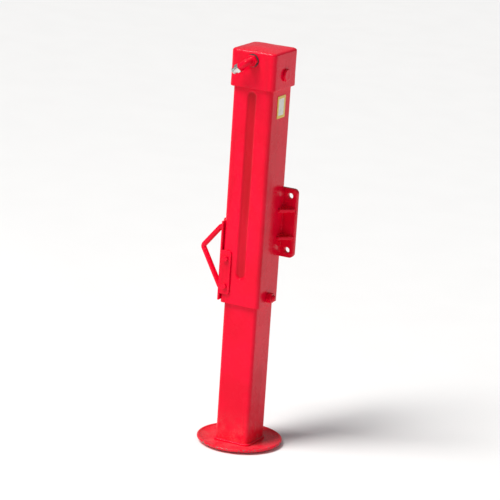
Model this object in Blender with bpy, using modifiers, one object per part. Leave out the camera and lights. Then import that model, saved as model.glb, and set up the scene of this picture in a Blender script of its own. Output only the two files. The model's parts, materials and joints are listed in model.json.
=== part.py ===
"""Hydraulic parking leg: a square telescopic leg, the two-stage telescopic ram inside it, and its latch.

Metres, +Z up. The origin is the centre of the foot's underside. The leg's own axis is the Z axis.
-Y is the open side face, +Y carries the mounting plate, -X (the rear) carries the latch, +X is the front.
The leg is shown standing on its foot, three quarters of the way out.
"""

import math

import bmesh
import bpy
from mathutils import Matrix, Vector

# Overall
OBJECT_NAME = "hydraulic_parking_leg"
GAP = 0.0003  # clearance between pieces that touch
SIDES = 24  # sides of a small round piece

# Casing: the outer square tube, with a pressed guide bead in each side face
TUBE_WIDTH = 0.110
TUBE_WALL = 0.005
TUBE_CORNER = 0.010
TUBE_BOTTOM = 0.378
TUBE_TOP = 1.026
TUBE_HALF = TUBE_WIDTH / 2
TUBE_INSIDE = TUBE_HALF - TUBE_WALL
BEAD_WIDTH = 0.026
BEAD_DEPTH = 0.003
BEAD_Z = (0.446, 0.934)

# Inner square tube, which carries the foot
INNER_WIDTH = 0.094
INNER_WALL = 0.005
INNER_CORNER = 0.009
INNER_TOP = 0.655
INNER_HALF = INNER_WIDTH / 2
INNER_BORE = INNER_HALF - INNER_WALL
LOCK_HOLE_RADIUS = 0.009
LOCK_HOLE_FIRST = 0.100
LOCK_HOLE_PITCH = 0.050
LOCK_HOLES = 9

# Foot
FOOT_RADIUS = 0.111
FOOT_FLAT_RADIUS = 0.084
FOOT_PLATE = 0.008
FOOT_HEIGHT = 0.015

# Top cap
CAP_WIDTH = 0.125
CAP_WALL = 0.006
CAP_CORNER = 0.012
CAP_BOTTOM = 0.940
CAP_SHOULDER = 1.0315
CAP_DOME = (  # inset from the side, rise above the shoulder
    (0.0, 0.0),
    (0.0008, 0.0024),
    (0.0030, 0.0042),
    (0.0090, 0.0056),
    (0.0220, 0.0072),
    (0.0420, 0.0085),
)
CAP_HALF = CAP_WIDTH / 2

# Guide strips in the gap between the two tubes
STRIP_LOW = INNER_HALF + GAP
STRIP_HIGH = TUBE_INSIDE - GAP
STRIP_HALF_WIDTH = 0.030
LOWER_STRIP_Z = (0.385, 0.435)
REAR_STRIP_Z = (0.425, 0.475)
UPPER_STRIP_Z = (0.597, 0.650)

# Ram: barrel and head on the casing, a stage tube, and the plunger that pushes the inner tube
PIN_Z = 0.975
PIN_RADIUS = 0.011
PIN_HOLE_RADIUS = PIN_RADIUS + 0.0005
PIN_TAIL = -0.076
PIN_HEAD_RADIUS = 0.016
PIN_HEAD_LENGTH = 0.006
PIN_WASHER_RADIUS = 0.019
PIN_WASHER_THICKNESS = 0.003
PIN_SPACER_RADIUS = 0.0155
SPLIT_PIN_X = -0.0705
SPLIT_PIN_WIRE = 0.0012
SPLIT_PIN_EYE = 0.0038
SPLIT_PIN_SPREAD = 0.0095
EYE_HALF = 0.022
HEAD_RADIUS = 0.0375
HEAD_BOTTOM = 0.930
HEAD_TOP = 1.024
PORT_Z = 1.012
PORT_RADIUS = 0.008
PASSAGE_RADIUS = 0.004
PASSAGE_Y = -0.022
BARREL_OUTER = 0.036
BARREL_INNER = 0.030
BARREL_BOTTOM = 0.665
STAGE_OUTER = 0.026
STAGE_INNER = 0.021
STAGE_BOTTOM = 0.4605
STAGE_TOP = 0.770
PLUNGER_RADIUS = 0.018
PLUNGER_TOP = 0.570
PISTON_LENGTH = 0.025
GLAND_WALL = 0.002
GLAND_SEAT = 0.025
SEAL_WIDTH = 0.0042
GUIDE_RING_DEPTH = 0.002
PISTON_CLEARANCE = 0.0005
STAGE_FOOT_RADIUS = STAGE_OUTER + 0.003
SEAT_TOP = 0.265
SEAT_THICKNESS = 0.015
SEAT_BOLT_RADIUS = 0.006
SEAT_BOLT_REACH = 0.022
SEAT_BOLT_HEAD = 0.011
SEAT_BOLT_HEAD_LENGTH = 0.0075
SEAT_WASHER_RADIUS = 0.012
SEAT_WASHER_THICKNESS = 0.0025

# Oil inlet on the side face of the cap
INLET_HOLE_RADIUS = 0.0105
INLET_SEAL_RADIUS = 0.0165
INLET_SEAL_THICKNESS = 0.002
ADAPTOR_HEX = 0.0156  # across corners, as a radius
ADAPTOR_HEX_LENGTH = 0.009
ADAPTOR_NECK = 0.0095
OIL_BORE = 0.004
ELBOW_Y = -0.089
ELBOW_DOWN = math.radians(38)
ELBOW_LENGTH = 0.026
ELBOW_BALL = 0.0125
ELBOW_NECK = 0.0105
ELBOW_RADIUS = 0.0095
PLUG_HEX = 0.0127
PLUG_HEX_LENGTH = 0.010
PLUG_GRIP = 0.0085
PLUG_GRIP_LENGTH = 0.012

# Latch on the rear face
LATCH_Z = 0.400
LATCH_RISE = 0.160
LATCH_BAR = 0.007
LATCH_BAR_HOLE = LATCH_BAR + 0.0005
LATCH_BEND = 0.009
LATCH_TIP = -0.0476
LATCH_TAIL = -0.0612
HANDLE_SHOULDER = -0.0905
HANDLE_APEX = (-0.1400, 0.100)
HANDLE_HEEL = -0.0840
COLLAR_RADIUS = 0.0115
COLLAR_LENGTH = 0.004
COLLAR_SETBACK = 0.0042  # from the end of the bar to the collar's outer face
COLLAR_HOLE_RADIUS = COLLAR_RADIUS + 0.0007
SPRING_WIRE = 0.0009
SPRING_TURNS = 2.5
BRACKET_PLATE = 0.004
BRACKET_FACE = TUBE_HALF + GAP + BRACKET_PLATE
BRACKET_Z = (0.384, 0.590)
BRACKET_SIDE_Z = (0.402, 0.516)
BRACKET_REAR_EDGE = 0.022
BRACKET_SIDE_EDGE = -0.028
GUIDE_PLATE = 0.004
GUIDE_OUTER = -0.0758
GUIDE_HALF_WIDTH = 0.018
GUIDE_Z = (0.531, 0.589)
BUSH_LENGTH = 0.007
BUSH_RADIUS = 0.014
BRACKET_BOLT_Z = (0.423, 0.495)
BRACKET_BOLT_X = -0.042
BRACKET_BOLT_RADIUS = 0.0040
BRACKET_BOLT_HOLE = BRACKET_BOLT_RADIUS + GAP
BRACKET_BOLT_HEAD = 0.0075
BRACKET_BOLT_HEAD_LENGTH = 0.0055

# Strip adjuster on the front face
ADJUSTER_Z = 0.398
ADJUSTER_RADIUS = 0.008
ADJUSTER_LENGTH = 0.025
LOCKNUT_RADIUS = 0.0139
LOCKNUT_LENGTH = 0.013

# Mounting plate on the side face towards the drawbar
PLATE_HALF = 0.090
PLATE_THICKNESS = 0.012
PLATE_CORNER = 0.012
PLATE_Z = 0.585
PLATE_HOLE_OFFSET = 0.071
PLATE_HOLE_RADIUS = 0.0075
PLATE_INSIDE = TUBE_HALF + GAP
GUSSET_REACH = 0.032
GUSSET_THICKNESS = 0.008
GUSSET_OFFSET = 0.036
GUSSET_NOSE = 0.006

# Blank label on the front face
LABEL_HALF_WIDTH = 0.021
LABEL_Z = (0.865, 0.922)
LABEL_THICKNESS = 0.0008


# ---- scene and materials

def clear_scene():
    for old in list(bpy.data.objects):
        bpy.data.objects.remove(old, do_unlink=True)


def new_collection(name):
    collection = bpy.data.collections.new(name)
    bpy.context.scene.collection.children.link(collection)
    return collection


def new_material(name, colour, roughness, metallic):
    material = bpy.data.materials.new(name)
    material.use_nodes = True
    shader = material.node_tree.nodes["Principled BSDF"]
    shader.inputs["Base Color"].default_value = (*colour, 1.0)
    shader.inputs["Roughness"].default_value = roughness
    shader.inputs["Metallic"].default_value = metallic
    return material


clear_scene()
PARTS = new_collection(OBJECT_NAME)
CUTTERS = new_collection("cutters")
RED = new_material("red_paint", (0.75, 0.01, 0.04), 0.30, 0.0)
ZINC = new_material("zinc_plate", (0.62, 0.62, 0.60), 0.35, 1.0)
CHROME = new_material("chrome", (0.75, 0.76, 0.78), 0.12, 1.0)
STEEL = new_material("bare_steel", (0.35, 0.35, 0.36), 0.45, 1.0)
NYLON = new_material("nylon", (0.80, 0.78, 0.70), 0.50, 0.0)
RUBBER = new_material("seal_rubber", (0.03, 0.03, 0.03), 0.60, 0.0)
YELLOW = new_material("label_yellow", (0.80, 0.55, 0.05), 0.45, 0.0)


# ---- building blocks

def add_cylinder(bm, radius, start, end, sides=SIDES, end_radius=None):
    """A round bar from start to end. With end_radius it is a cone."""
    start = Vector(start)
    end = Vector(end)
    turn = (end - start).to_track_quat("Z", "Y").to_matrix().to_4x4()
    place = Matrix.Translation((start + end) / 2) @ turn
    far = radius if end_radius is None else end_radius
    length = (end - start).length
    bmesh.ops.create_cone(
        bm, cap_ends=True, segments=sides, radius1=radius, radius2=far, depth=length, matrix=place
    )


def add_box(bm, low, high):
    """A box between two corners."""
    low = Vector(low)
    high = Vector(high)
    place = Matrix.Translation((low + high) / 2) @ Matrix.Diagonal((*(high - low), 1.0))
    return bmesh.ops.create_cube(bm, size=1.0, matrix=place)["verts"]


def bevel_edges_along(bm, verts, axis, width, segments):
    """Rounds the edges that run along one axis (0, 1 or 2)."""
    others = [k for k in range(3) if k != axis]
    edges = {edge for vert in verts for edge in vert.link_edges}
    chosen = []
    for edge in edges:
        run = edge.verts[0].co - edge.verts[1].co
        if all(abs(run[k]) < 1e-7 for k in others):
            chosen.append(edge)
    bmesh.ops.bevel(
        bm, geom=chosen, offset=width, segments=segments, profile=0.5, affect="EDGES", clamp_overlap=True
    )


def add_square_bar(bm, half, corner, bottom, top, segments=4):
    """A square bar along Z with rounded corners."""
    verts = add_box(bm, (-half, -half, bottom), (half, half, top))
    bevel_edges_along(bm, verts, 2, corner, segments)


def square_outline(half, corner, height, steps=4):
    """The points round a square with rounded corners, at one height."""
    points = []
    for quarter in range(4):
        turn = quarter * math.pi / 2
        middle = Vector((half - corner, half - corner, height))
        middle.rotate(Matrix.Rotation(turn, 3, "Z"))
        for k in range(steps + 1):
            angle = turn + k / steps * math.pi / 2
            points.append(middle + Vector((corner * math.cos(angle), corner * math.sin(angle), 0.0)))
    return points


def add_square_loft(bm, sections):
    """A closed solid through rounded squares, given as (half width, corner radius, height) going up."""
    rings = []
    for half, corner, height in sections:
        rings.append([bm.verts.new(point) for point in square_outline(half, corner, height)])
    for lower, upper in zip(rings, rings[1:]):
        count = len(lower)
        for k in range(count):
            after = (k + 1) % count
            bm.faces.new((lower[k], lower[after], upper[after], upper[k]))
    bm.faces.new(reversed(rings[0]))
    bm.faces.new(rings[-1])


def make(name, bm, material, parent=None, collection=None):
    """Turns a bmesh into a named object."""
    mesh = bpy.data.meshes.new(name)
    bmesh.ops.recalc_face_normals(bm, faces=bm.faces)
    bm.to_mesh(mesh)
    bm.free()
    mesh.shade_smooth()
    mesh.set_sharp_from_angle(angle=math.radians(35))
    thing = bpy.data.objects.new(name, mesh)
    mesh.materials.append(material)
    (collection or PARTS).objects.link(thing)
    thing.parent = parent
    return thing


def make_cutter(name, bm, parent=None):
    """A hidden shape that another piece is cut by or joined with."""
    cutter = make(name, bm, STEEL, parent, CUTTERS)
    cutter.hide_render = True
    cutter.display_type = "WIRE"
    return cutter


def combine(thing, cutter, operation="DIFFERENCE"):
    boolean = thing.modifiers.new(cutter.name, "BOOLEAN")
    boolean.operation = operation
    boolean.solver = "EXACT"
    boolean.object = cutter


def make_box(name, low, high, material, parent=None):
    bm = bmesh.new()
    add_box(bm, low, high)
    return make(name, bm, material, parent)


def make_turned(name, profile, material, parent=None, closed=False, sides=SIDES):
    """A piece turned about Z from (radius, height) points that run down its outer side.

    A closed profile makes a ring; an open one starts and ends on the axis.
    """
    mesh = bpy.data.meshes.new(name)
    points = [(radius, 0.0, height) for radius, height in profile]
    edges = [(k, k + 1) for k in range(len(points) - 1)]
    if closed:
        edges.append((len(points) - 1, 0))
    mesh.from_pydata(points, edges, [])
    thing = bpy.data.objects.new(name, mesh)
    mesh.materials.append(material)
    PARTS.objects.link(thing)
    thing.parent = parent
    screw = thing.modifiers.new("turn", "SCREW")
    screw.steps = sides
    screw.render_steps = sides
    screw.use_merge_vertices = True
    screw.merge_threshold = 0.00001
    screw.use_smooth_shade = True
    return thing


def make_ring(name, inner, outer, bottom, top, material, parent=None, sides=SIDES):
    profile = [(outer, top), (outer, bottom), (inner, bottom), (inner, top)]
    return make_turned(name, profile, material, parent, closed=True, sides=sides)


def lay_along_x(thing, x, z):
    """Turns a piece made about Z so that its axis runs along X, with its top towards +X."""
    thing.rotation_euler = (0.0, math.radians(90), 0.0)
    thing.location = (x, 0.0, z)


def fillet(corner, before, after, radius, steps=5):
    """Points on an arc that rounds one corner of a path."""
    inward = (before - corner).normalized()
    outward = (after - corner).normalized()
    half_angle = inward.angle(outward) / 2
    reach = radius / math.tan(half_angle)
    centre = corner + (inward + outward).normalized() * radius / math.sin(half_angle)
    first = corner + inward * reach - centre
    last = corner + outward * reach - centre
    sweep = first.angle(last)
    points = []
    for k in range(steps + 1):
        angle = sweep * k / steps
        arm = first * math.sin(sweep - angle) + last * math.sin(angle)
        points.append(centre + arm / math.sin(sweep))
    return points


def rounded_path(corners, radius):
    """A path through corners, with every inner corner rounded."""
    corners = [Vector(corner) for corner in corners]
    path = [corners[0]]
    for before, corner, after in zip(corners, corners[1:], corners[2:]):
        path.extend(fillet(corner, before, after, radius))
    path.append(corners[-1])
    return path


def make_wire(name, points, radius, material, parent=None, resolution=3, ends=None):
    """A round bar along a path. ends scales the radius of single points by their place in the path."""
    curve = bpy.data.curves.new(name, "CURVE")
    curve.dimensions = "3D"
    curve.bevel_depth = radius
    curve.bevel_resolution = resolution
    curve.use_fill_caps = True
    spline = curve.splines.new("POLY")
    spline.points.add(len(points) - 1)
    for point, place in zip(spline.points, points):
        point.co = (*place, 1.0)
    for index, scale in (ends or {}).items():
        spline.points[index].radius = scale
    spline.use_smooth = True
    curve.materials.append(material)
    thing = bpy.data.objects.new(name, curve)
    PARTS.objects.link(thing)
    thing.parent = parent
    return thing


def make_plate(name, outline, thickness, material):
    """A flat plate in its own XY plane from an outline, centred on that plane."""
    curve = bpy.data.curves.new(name, "CURVE")
    curve.dimensions = "2D"
    curve.fill_mode = "BOTH"
    curve.extrude = thickness / 2
    spline = curve.splines.new("POLY")
    spline.points.add(len(outline) - 1)
    spline.use_cyclic_u = True
    for point, (x, y) in zip(spline.points, outline):
        point.co = (x, y, 0.0, 1.0)
    curve.materials.append(material)
    thing = bpy.data.objects.new(name, curve)
    PARTS.objects.link(thing)
    return thing


def make_empty(name, place):
    """The parent of the pieces that one joint moves, standing on that joint's axis."""
    empty = bpy.data.objects.new(name, None)
    empty.location = place
    PARTS.objects.link(empty)
    return empty


# ---- casing

def build_outer_tube():
    bm = bmesh.new()
    add_square_bar(bm, TUBE_HALF, TUBE_CORNER, TUBE_BOTTOM, TUBE_TOP)
    tube = make("outer_tube", bm, RED)

    bm = bmesh.new()
    add_square_bar(bm, TUBE_INSIDE, TUBE_CORNER - TUBE_WALL, TUBE_BOTTOM - 0.01, TUBE_TOP + 0.01, 3)
    combine(tube, make_cutter("outer_tube_bore", bm))

    bm = bmesh.new()
    rib_half = BEAD_WIDTH / 2 + 0.003
    for side in (-1, 1):
        faces = sorted((side * (TUBE_INSIDE + 0.002), side * (TUBE_INSIDE - BEAD_DEPTH + 0.0005)))
        low = (-rib_half, faces[0], BEAD_Z[0] - 0.003)
        high = (rib_half, faces[1], BEAD_Z[1] + 0.003)
        verts = add_box(bm, low, high)
        bevel_edges_along(bm, verts, 2, 0.0015, 2)
    combine(tube, make_cutter("bead_ribs", bm), "UNION")

    bm = bmesh.new()
    groove_half = BEAD_WIDTH / 2
    for side in (-1, 1):
        faces = sorted((side * (TUBE_HALF - BEAD_DEPTH), side * (TUBE_HALF + BEAD_DEPTH)))
        verts = add_box(bm, (-groove_half, faces[0], BEAD_Z[0]), (groove_half, faces[1], BEAD_Z[1]))
        bevel_edges_along(bm, verts, 2, 0.0020, 3)
    wall_out = TUBE_HALF + 0.005
    wall_in = TUBE_INSIDE - 0.005
    add_cylinder(bm, PIN_HOLE_RADIUS, (-wall_out, 0, PIN_Z), (wall_out, 0, PIN_Z))
    add_cylinder(bm, INLET_HOLE_RADIUS, (0, -wall_out, PORT_Z), (0, -wall_in, PORT_Z))
    add_cylinder(bm, LATCH_BAR_HOLE, (-wall_out, 0, LATCH_Z), (-wall_in, 0, LATCH_Z))
    upper = LATCH_Z + LATCH_RISE
    add_cylinder(bm, COLLAR_HOLE_RADIUS, (-wall_out, 0, upper), (-wall_in, 0, upper))
    add_cylinder(bm, ADJUSTER_RADIUS + GAP, (wall_in, 0, ADJUSTER_Z), (wall_out, 0, ADJUSTER_Z))
    x = BRACKET_BOLT_X
    for z in BRACKET_BOLT_Z:
        add_cylinder(bm, BRACKET_BOLT_HOLE, (x, -wall_out, z), (x, -wall_in, z), 20)
    combine(tube, make_cutter("outer_tube_cuts", bm))


def build_top_cap():
    sections = [(CAP_HALF, CAP_CORNER, CAP_BOTTOM)]
    for inset, rise in CAP_DOME:
        corner = max(CAP_CORNER - inset / 2, 0.002)
        sections.append((CAP_HALF - inset, corner, CAP_SHOULDER + rise))
    bm = bmesh.new()
    add_square_loft(bm, sections)
    cap = make("top_cap", bm, RED)

    hollow = CAP_HALF - CAP_WALL
    bm = bmesh.new()
    add_square_bar(bm, hollow, CAP_CORNER - CAP_WALL / 2, CAP_BOTTOM - 0.01, TUBE_TOP + GAP)
    combine(cap, make_cutter("top_cap_hollow", bm))
    reach = CAP_HALF + 0.005
    bm = bmesh.new()
    add_cylinder(bm, PIN_HOLE_RADIUS, (-reach, 0, PIN_Z), (reach, 0, PIN_Z))
    combine(cap, make_cutter("top_cap_pin_hole", bm))
    bm = bmesh.new()
    add_cylinder(bm, INLET_HOLE_RADIUS, (0, -reach, PORT_Z), (0, 0.002 - hollow, PORT_Z))
    combine(cap, make_cutter("top_cap_port_hole", bm))


def build_top_pin():
    """The pin that hangs the ram in the casing, with its washer, split pin and spacers."""
    head_start = CAP_HALF + GAP
    length = head_start - PIN_TAIL
    pin = make_turned("top_pin", [
        (0.0, length + PIN_HEAD_LENGTH),
        (PIN_HEAD_RADIUS - 0.0015, length + PIN_HEAD_LENGTH),
        (PIN_HEAD_RADIUS, length + PIN_HEAD_LENGTH - 0.0015),
        (PIN_HEAD_RADIUS, length),
        (PIN_RADIUS, length),
        (PIN_RADIUS, 0.0015),
        (PIN_RADIUS - 0.0015, 0.0),
        (0.0, 0.0),
    ], RED)
    lay_along_x(pin, PIN_TAIL, PIN_Z)
    bm = bmesh.new()
    hole = 2 * SPLIT_PIN_WIRE + 0.0006
    add_cylinder(bm, hole, (SPLIT_PIN_X, 0, PIN_Z - 0.02), (SPLIT_PIN_X, 0, PIN_Z + 0.02), 16)
    combine(pin, make_cutter("split_pin_hole", bm))

    bore = PIN_RADIUS + GAP
    washer = make_ring("top_pin_washer", bore, PIN_WASHER_RADIUS, 0.0, PIN_WASHER_THICKNESS, ZINC)
    lay_along_x(washer, -CAP_HALF - GAP - PIN_WASHER_THICKNESS, PIN_Z)

    for name, start in (("pin_spacer_front", EYE_HALF + GAP), ("pin_spacer_rear", GAP - TUBE_INSIDE)):
        spacer_length = TUBE_INSIDE - EYE_HALF - 2 * GAP
        spacer = make_ring(name, bore, PIN_SPACER_RADIUS, 0.0, spacer_length, STEEL)
        lay_along_x(spacer, start, PIN_Z)


def build_split_pin():
    """One wire: down one leg, round the eye at the top, and down the other leg."""
    offset = SPLIT_PIN_WIRE + 0.0002
    eye = SPLIT_PIN_EYE
    eye_z = PIN_Z + PIN_RADIUS + 0.0062
    tip_z = PIN_Z - PIN_RADIUS - 0.0065
    bend_z = PIN_Z - PIN_RADIUS - 0.0012
    points = [Vector((SPLIT_PIN_X, -SPLIT_PIN_SPREAD, tip_z))]
    points.append(Vector((SPLIT_PIN_X, -offset, bend_z)))
    points.append(Vector((SPLIT_PIN_X, -offset, PIN_Z + PIN_RADIUS)))
    open_angle = math.asin(offset / eye)
    for k in range(13):
        angle = -math.pi / 2 - open_angle - (2 * math.pi - 2 * open_angle) * k / 12
        points.append(Vector((SPLIT_PIN_X, eye * math.cos(angle), eye_z + eye * math.sin(angle))))
    points.append(Vector((SPLIT_PIN_X, offset, PIN_Z + PIN_RADIUS)))
    points.append(Vector((SPLIT_PIN_X, offset, bend_z)))
    points.append(Vector((SPLIT_PIN_X, SPLIT_PIN_SPREAD, tip_z)))
    make_wire("top_pin_split_pin", points, SPLIT_PIN_WIRE, ZINC, resolution=2)


def build_mounting():
    bm = bmesh.new()
    low = (-PLATE_HALF, PLATE_INSIDE, PLATE_Z - PLATE_HALF)
    high = (PLATE_HALF, PLATE_INSIDE + PLATE_THICKNESS, PLATE_Z + PLATE_HALF)
    verts = add_box(bm, low, high)
    bevel_edges_along(bm, verts, 1, PLATE_CORNER, 4)
    plate = make("mounting_plate", bm, RED)
    bm = bmesh.new()
    for x in (-PLATE_HOLE_OFFSET, PLATE_HOLE_OFFSET):
        for z in (PLATE_Z - PLATE_HOLE_OFFSET, PLATE_Z + PLATE_HOLE_OFFSET):
            add_cylinder(bm, PLATE_HOLE_RADIUS, (x, PLATE_INSIDE - 0.01, z), (x, PLATE_INSIDE + 0.03, z))
    combine(plate, make_cutter("mounting_holes", bm))

    near = TUBE_HALF + GAP
    base = PLATE_INSIDE - GAP
    for side, side_name in ((1, "front"), (-1, "rear")):
        outline = [
            (side * near, base),
            (side * near, base - GUSSET_REACH),
            (side * (near + GUSSET_NOSE), base - GUSSET_REACH),
            (side * (near + GUSSET_REACH), base - GUSSET_NOSE),
            (side * (near + GUSSET_REACH), base),
        ]
        for offset, level_name in ((GUSSET_OFFSET, "upper"), (-GUSSET_OFFSET, "lower")):
            name = f"gusset_{side_name}_{level_name}"
            gusset = make_plate(name, outline, GUSSET_THICKNESS, RED)
            gusset.location.z = PLATE_Z + offset


def build_label():
    low = (TUBE_HALF + GAP, -LABEL_HALF_WIDTH, LABEL_Z[0])
    high = (TUBE_HALF + GAP + LABEL_THICKNESS, LABEL_HALF_WIDTH, LABEL_Z[1])
    make_box("label_plate", low, high, YELLOW)


def build_lower_strips():
    half = STRIP_HALF_WIDTH
    low, high = LOWER_STRIP_Z
    make_box("lower_strip_front", (STRIP_LOW, -half, low), (STRIP_HIGH, half, high), NYLON)
    make_box("lower_strip_left", (-half, STRIP_LOW, low), (half, STRIP_HIGH, high), NYLON)
    make_box("lower_strip_right", (-half, -STRIP_HIGH, low), (half, -STRIP_LOW, high), NYLON)
    low, high = REAR_STRIP_Z
    make_box("lower_strip_rear", (-STRIP_HIGH, -half, low), (-STRIP_LOW, half, high), NYLON)


def build_adjuster():
    """The screw that presses the front strip against the inner tube, and its lock nut."""
    screw = make_turned("adjusting_screw", [
        (0.0, ADJUSTER_LENGTH),
        (ADJUSTER_RADIUS - 0.002, ADJUSTER_LENGTH),
        (ADJUSTER_RADIUS, ADJUSTER_LENGTH - 0.002),
        (ADJUSTER_RADIUS, 0.0012),
        (ADJUSTER_RADIUS - 0.0012, 0.0),
        (0.0, 0.0),
    ], RED)
    lay_along_x(screw, TUBE_INSIDE, ADJUSTER_Z)
    bm = bmesh.new()
    near = TUBE_HALF + GAP
    add_cylinder(bm, LOCKNUT_RADIUS, (near, 0, ADJUSTER_Z), (near + LOCKNUT_LENGTH, 0, ADJUSTER_Z), 6)
    nut = make("adjusting_locknut", bm, RED)
    bm = bmesh.new()
    add_cylinder(bm, ADJUSTER_RADIUS + GAP, (near - 0.01, 0, ADJUSTER_Z), (near + 0.03, 0, ADJUSTER_Z))
    combine(nut, make_cutter("locknut_bore", bm))


# ---- oil inlet

def build_inlet():
    face = -CAP_HALF
    seal_bore = ADAPTOR_NECK + 0.0005
    seal = make_ring("inlet_seal", seal_bore, INLET_SEAL_RADIUS, 0.0, INLET_SEAL_THICKNESS, RUBBER)
    seal.rotation_euler = (math.radians(90), 0.0, 0.0)
    seal.location = (0.0, face - GAP, PORT_Z)

    bm = bmesh.new()
    hex_start = face - 2 * GAP - INLET_SEAL_THICKNESS
    hex_end = hex_start - ADAPTOR_HEX_LENGTH
    add_cylinder(bm, ADAPTOR_HEX, (0, hex_start, PORT_Z), (0, hex_end, PORT_Z), 6)
    adaptor = make("inlet_adaptor", bm, RED)
    bm = bmesh.new()
    add_cylinder(bm, ADAPTOR_NECK, (0, hex_start - 0.003, PORT_Z), (0, -HEAD_RADIUS - 0.001, PORT_Z))
    combine(adaptor, make_cutter("adaptor_barrel", bm), "UNION")
    bm = bmesh.new()
    add_cylinder(bm, PORT_RADIUS - GAP, (0, -HEAD_RADIUS - 0.004, PORT_Z), (0, -0.027, PORT_Z))
    combine(adaptor, make_cutter("adaptor_thread", bm), "UNION")
    bm = bmesh.new()
    add_cylinder(bm, OIL_BORE, (0, hex_end - 0.01, PORT_Z), (0, -0.02, PORT_Z), 16)
    combine(adaptor, make_cutter("adaptor_bore", bm))

    centre = Vector((0.0, ELBOW_Y, PORT_Z))
    run = Vector((-math.cos(ELBOW_DOWN), 0.0, -math.sin(ELBOW_DOWN)))
    outlet = centre + run * ELBOW_LENGTH
    bm = bmesh.new()
    ball = Matrix.Translation(centre)
    bmesh.ops.create_uvsphere(bm, u_segments=24, v_segments=12, radius=ELBOW_BALL, matrix=ball)
    elbow = make("inlet_elbow", bm, RED)
    bm = bmesh.new()
    add_cylinder(bm, ELBOW_NECK, centre, (0, hex_end - GAP, PORT_Z))
    combine(elbow, make_cutter("elbow_inlet", bm), "UNION")
    bm = bmesh.new()
    add_cylinder(bm, ELBOW_RADIUS, centre, outlet)
    combine(elbow, make_cutter("elbow_outlet", bm), "UNION")

    bm = bmesh.new()
    plug_start = outlet + run * GAP
    grip_start = plug_start + run * PLUG_HEX_LENGTH
    add_cylinder(bm, PLUG_HEX, plug_start, grip_start, 6)
    plug = make("inlet_plug", bm, ZINC)
    bm = bmesh.new()
    add_cylinder(bm, PLUG_GRIP, grip_start - run * 0.003, grip_start + run * PLUG_GRIP_LENGTH)
    combine(plug, make_cutter("plug_grip", bm), "UNION")


# ---- ram

def build_ram_head():
    bm = bmesh.new()
    add_cylinder(bm, HEAD_RADIUS, (0, 0, HEAD_BOTTOM + GAP), (0, 0, HEAD_TOP))
    head = make("ram_head", bm, STEEL)
    bm = bmesh.new()
    for side in (-1, 1):
        flats = sorted((side * EYE_HALF, side * (HEAD_RADIUS + 0.01)))
        add_box(bm, (flats[0], -0.05, HEAD_BOTTOM + 0.015), (flats[1], 0.05, HEAD_TOP + 0.01))
    combine(head, make_cutter("ram_head_flats", bm))
    bm = bmesh.new()
    add_cylinder(bm, PIN_RADIUS + GAP, (-EYE_HALF - 0.003, 0, PIN_Z), (EYE_HALF + 0.003, 0, PIN_Z))
    combine(head, make_cutter("ram_eye", bm))
    bm = bmesh.new()
    add_cylinder(bm, PORT_RADIUS, (0, -HEAD_RADIUS - 0.01, PORT_Z), (0, PASSAGE_Y, PORT_Z))
    combine(head, make_cutter("ram_port", bm))
    bm = bmesh.new()
    add_cylinder(bm, PASSAGE_RADIUS, (0, PASSAGE_Y, HEAD_BOTTOM - 0.01), (0, PASSAGE_Y, PORT_Z), 16)
    combine(head, make_cutter("ram_passage", bm))


def build_gland(prefix, bottom, tube_outer, rod_radius, parent=None):
    """A gland nut screwed over the end of a tube, with a rod seal and a wiper in its bore."""
    outer = tube_outer + GLAND_WALL
    shoulder = bottom + GLAND_SEAT
    top = shoulder + GLAND_SEAT
    bore = rod_radius + GAP
    groove = bore + SEAL_WIDTH + GAP
    wiper_top = bottom + 0.006
    seal_low = bottom + 0.013
    seal_high = bottom + 0.020
    make_turned(f"{prefix}_gland", [
        (outer - 0.001, top),
        (outer, top - 0.001),
        (outer, bottom + 0.002),
        (outer - 0.002, bottom),
        (groove - 0.001, bottom),
        (groove - 0.001, wiper_top),
        (bore, wiper_top),
        (bore, seal_low),
        (groove, seal_low),
        (groove, seal_high),
        (bore, seal_high),
        (bore, shoulder),
        (tube_outer + GAP, shoulder),
        (tube_outer + GAP, top),
    ], STEEL, parent, closed=True)
    make_ring(f"{prefix}_rod_seal", bore, groove - GAP, seal_low + GAP, seal_high - GAP, RUBBER, parent)
    make_ring(f"{prefix}_wiper", bore, groove - 0.001 - GAP, bottom + GAP, wiper_top - GAP, RUBBER, parent)
    return shoulder


def guide_groove(top):
    """The heights of the groove that holds a guide ring in a piston whose top is given."""
    return top - 0.018, top - 0.007


def build_barrel():
    shoulder = build_gland("barrel", BARREL_BOTTOM - GLAND_SEAT, BARREL_OUTER, STAGE_OUTER)
    make_ring("ram_barrel", BARREL_INNER, BARREL_OUTER, shoulder + GAP, HEAD_BOTTOM, STEEL)


def build_stage(parent):
    build_gland("stage", STAGE_BOTTOM - GLAND_SEAT - GAP, STAGE_FOOT_RADIUS, PLUNGER_RADIUS, parent)
    piston = BARREL_INNER - PISTON_CLEARANCE
    groove_low, groove_high = guide_groove(STAGE_TOP)
    groove = piston - GUIDE_RING_DEPTH
    skirt = STAGE_TOP - PISTON_LENGTH
    make_turned("stage_tube", [
        (piston, STAGE_TOP),
        (piston, groove_high),
        (groove, groove_high),
        (groove, groove_low),
        (piston, groove_low),
        (piston, skirt),
        (STAGE_OUTER, skirt),
        (STAGE_OUTER, STAGE_BOTTOM + GLAND_SEAT + 0.001),
        (STAGE_FOOT_RADIUS, STAGE_BOTTOM + GLAND_SEAT - 0.002),
        (STAGE_FOOT_RADIUS, STAGE_BOTTOM),
        (STAGE_INNER, STAGE_BOTTOM),
        (STAGE_INNER, STAGE_TOP),
    ], CHROME, parent, closed=True)
    low = groove_low + GAP
    high = groove_high - GAP
    make_ring("stage_guide_ring", groove + GAP, BARREL_INNER - GAP, low, high, NYLON, parent)


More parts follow.
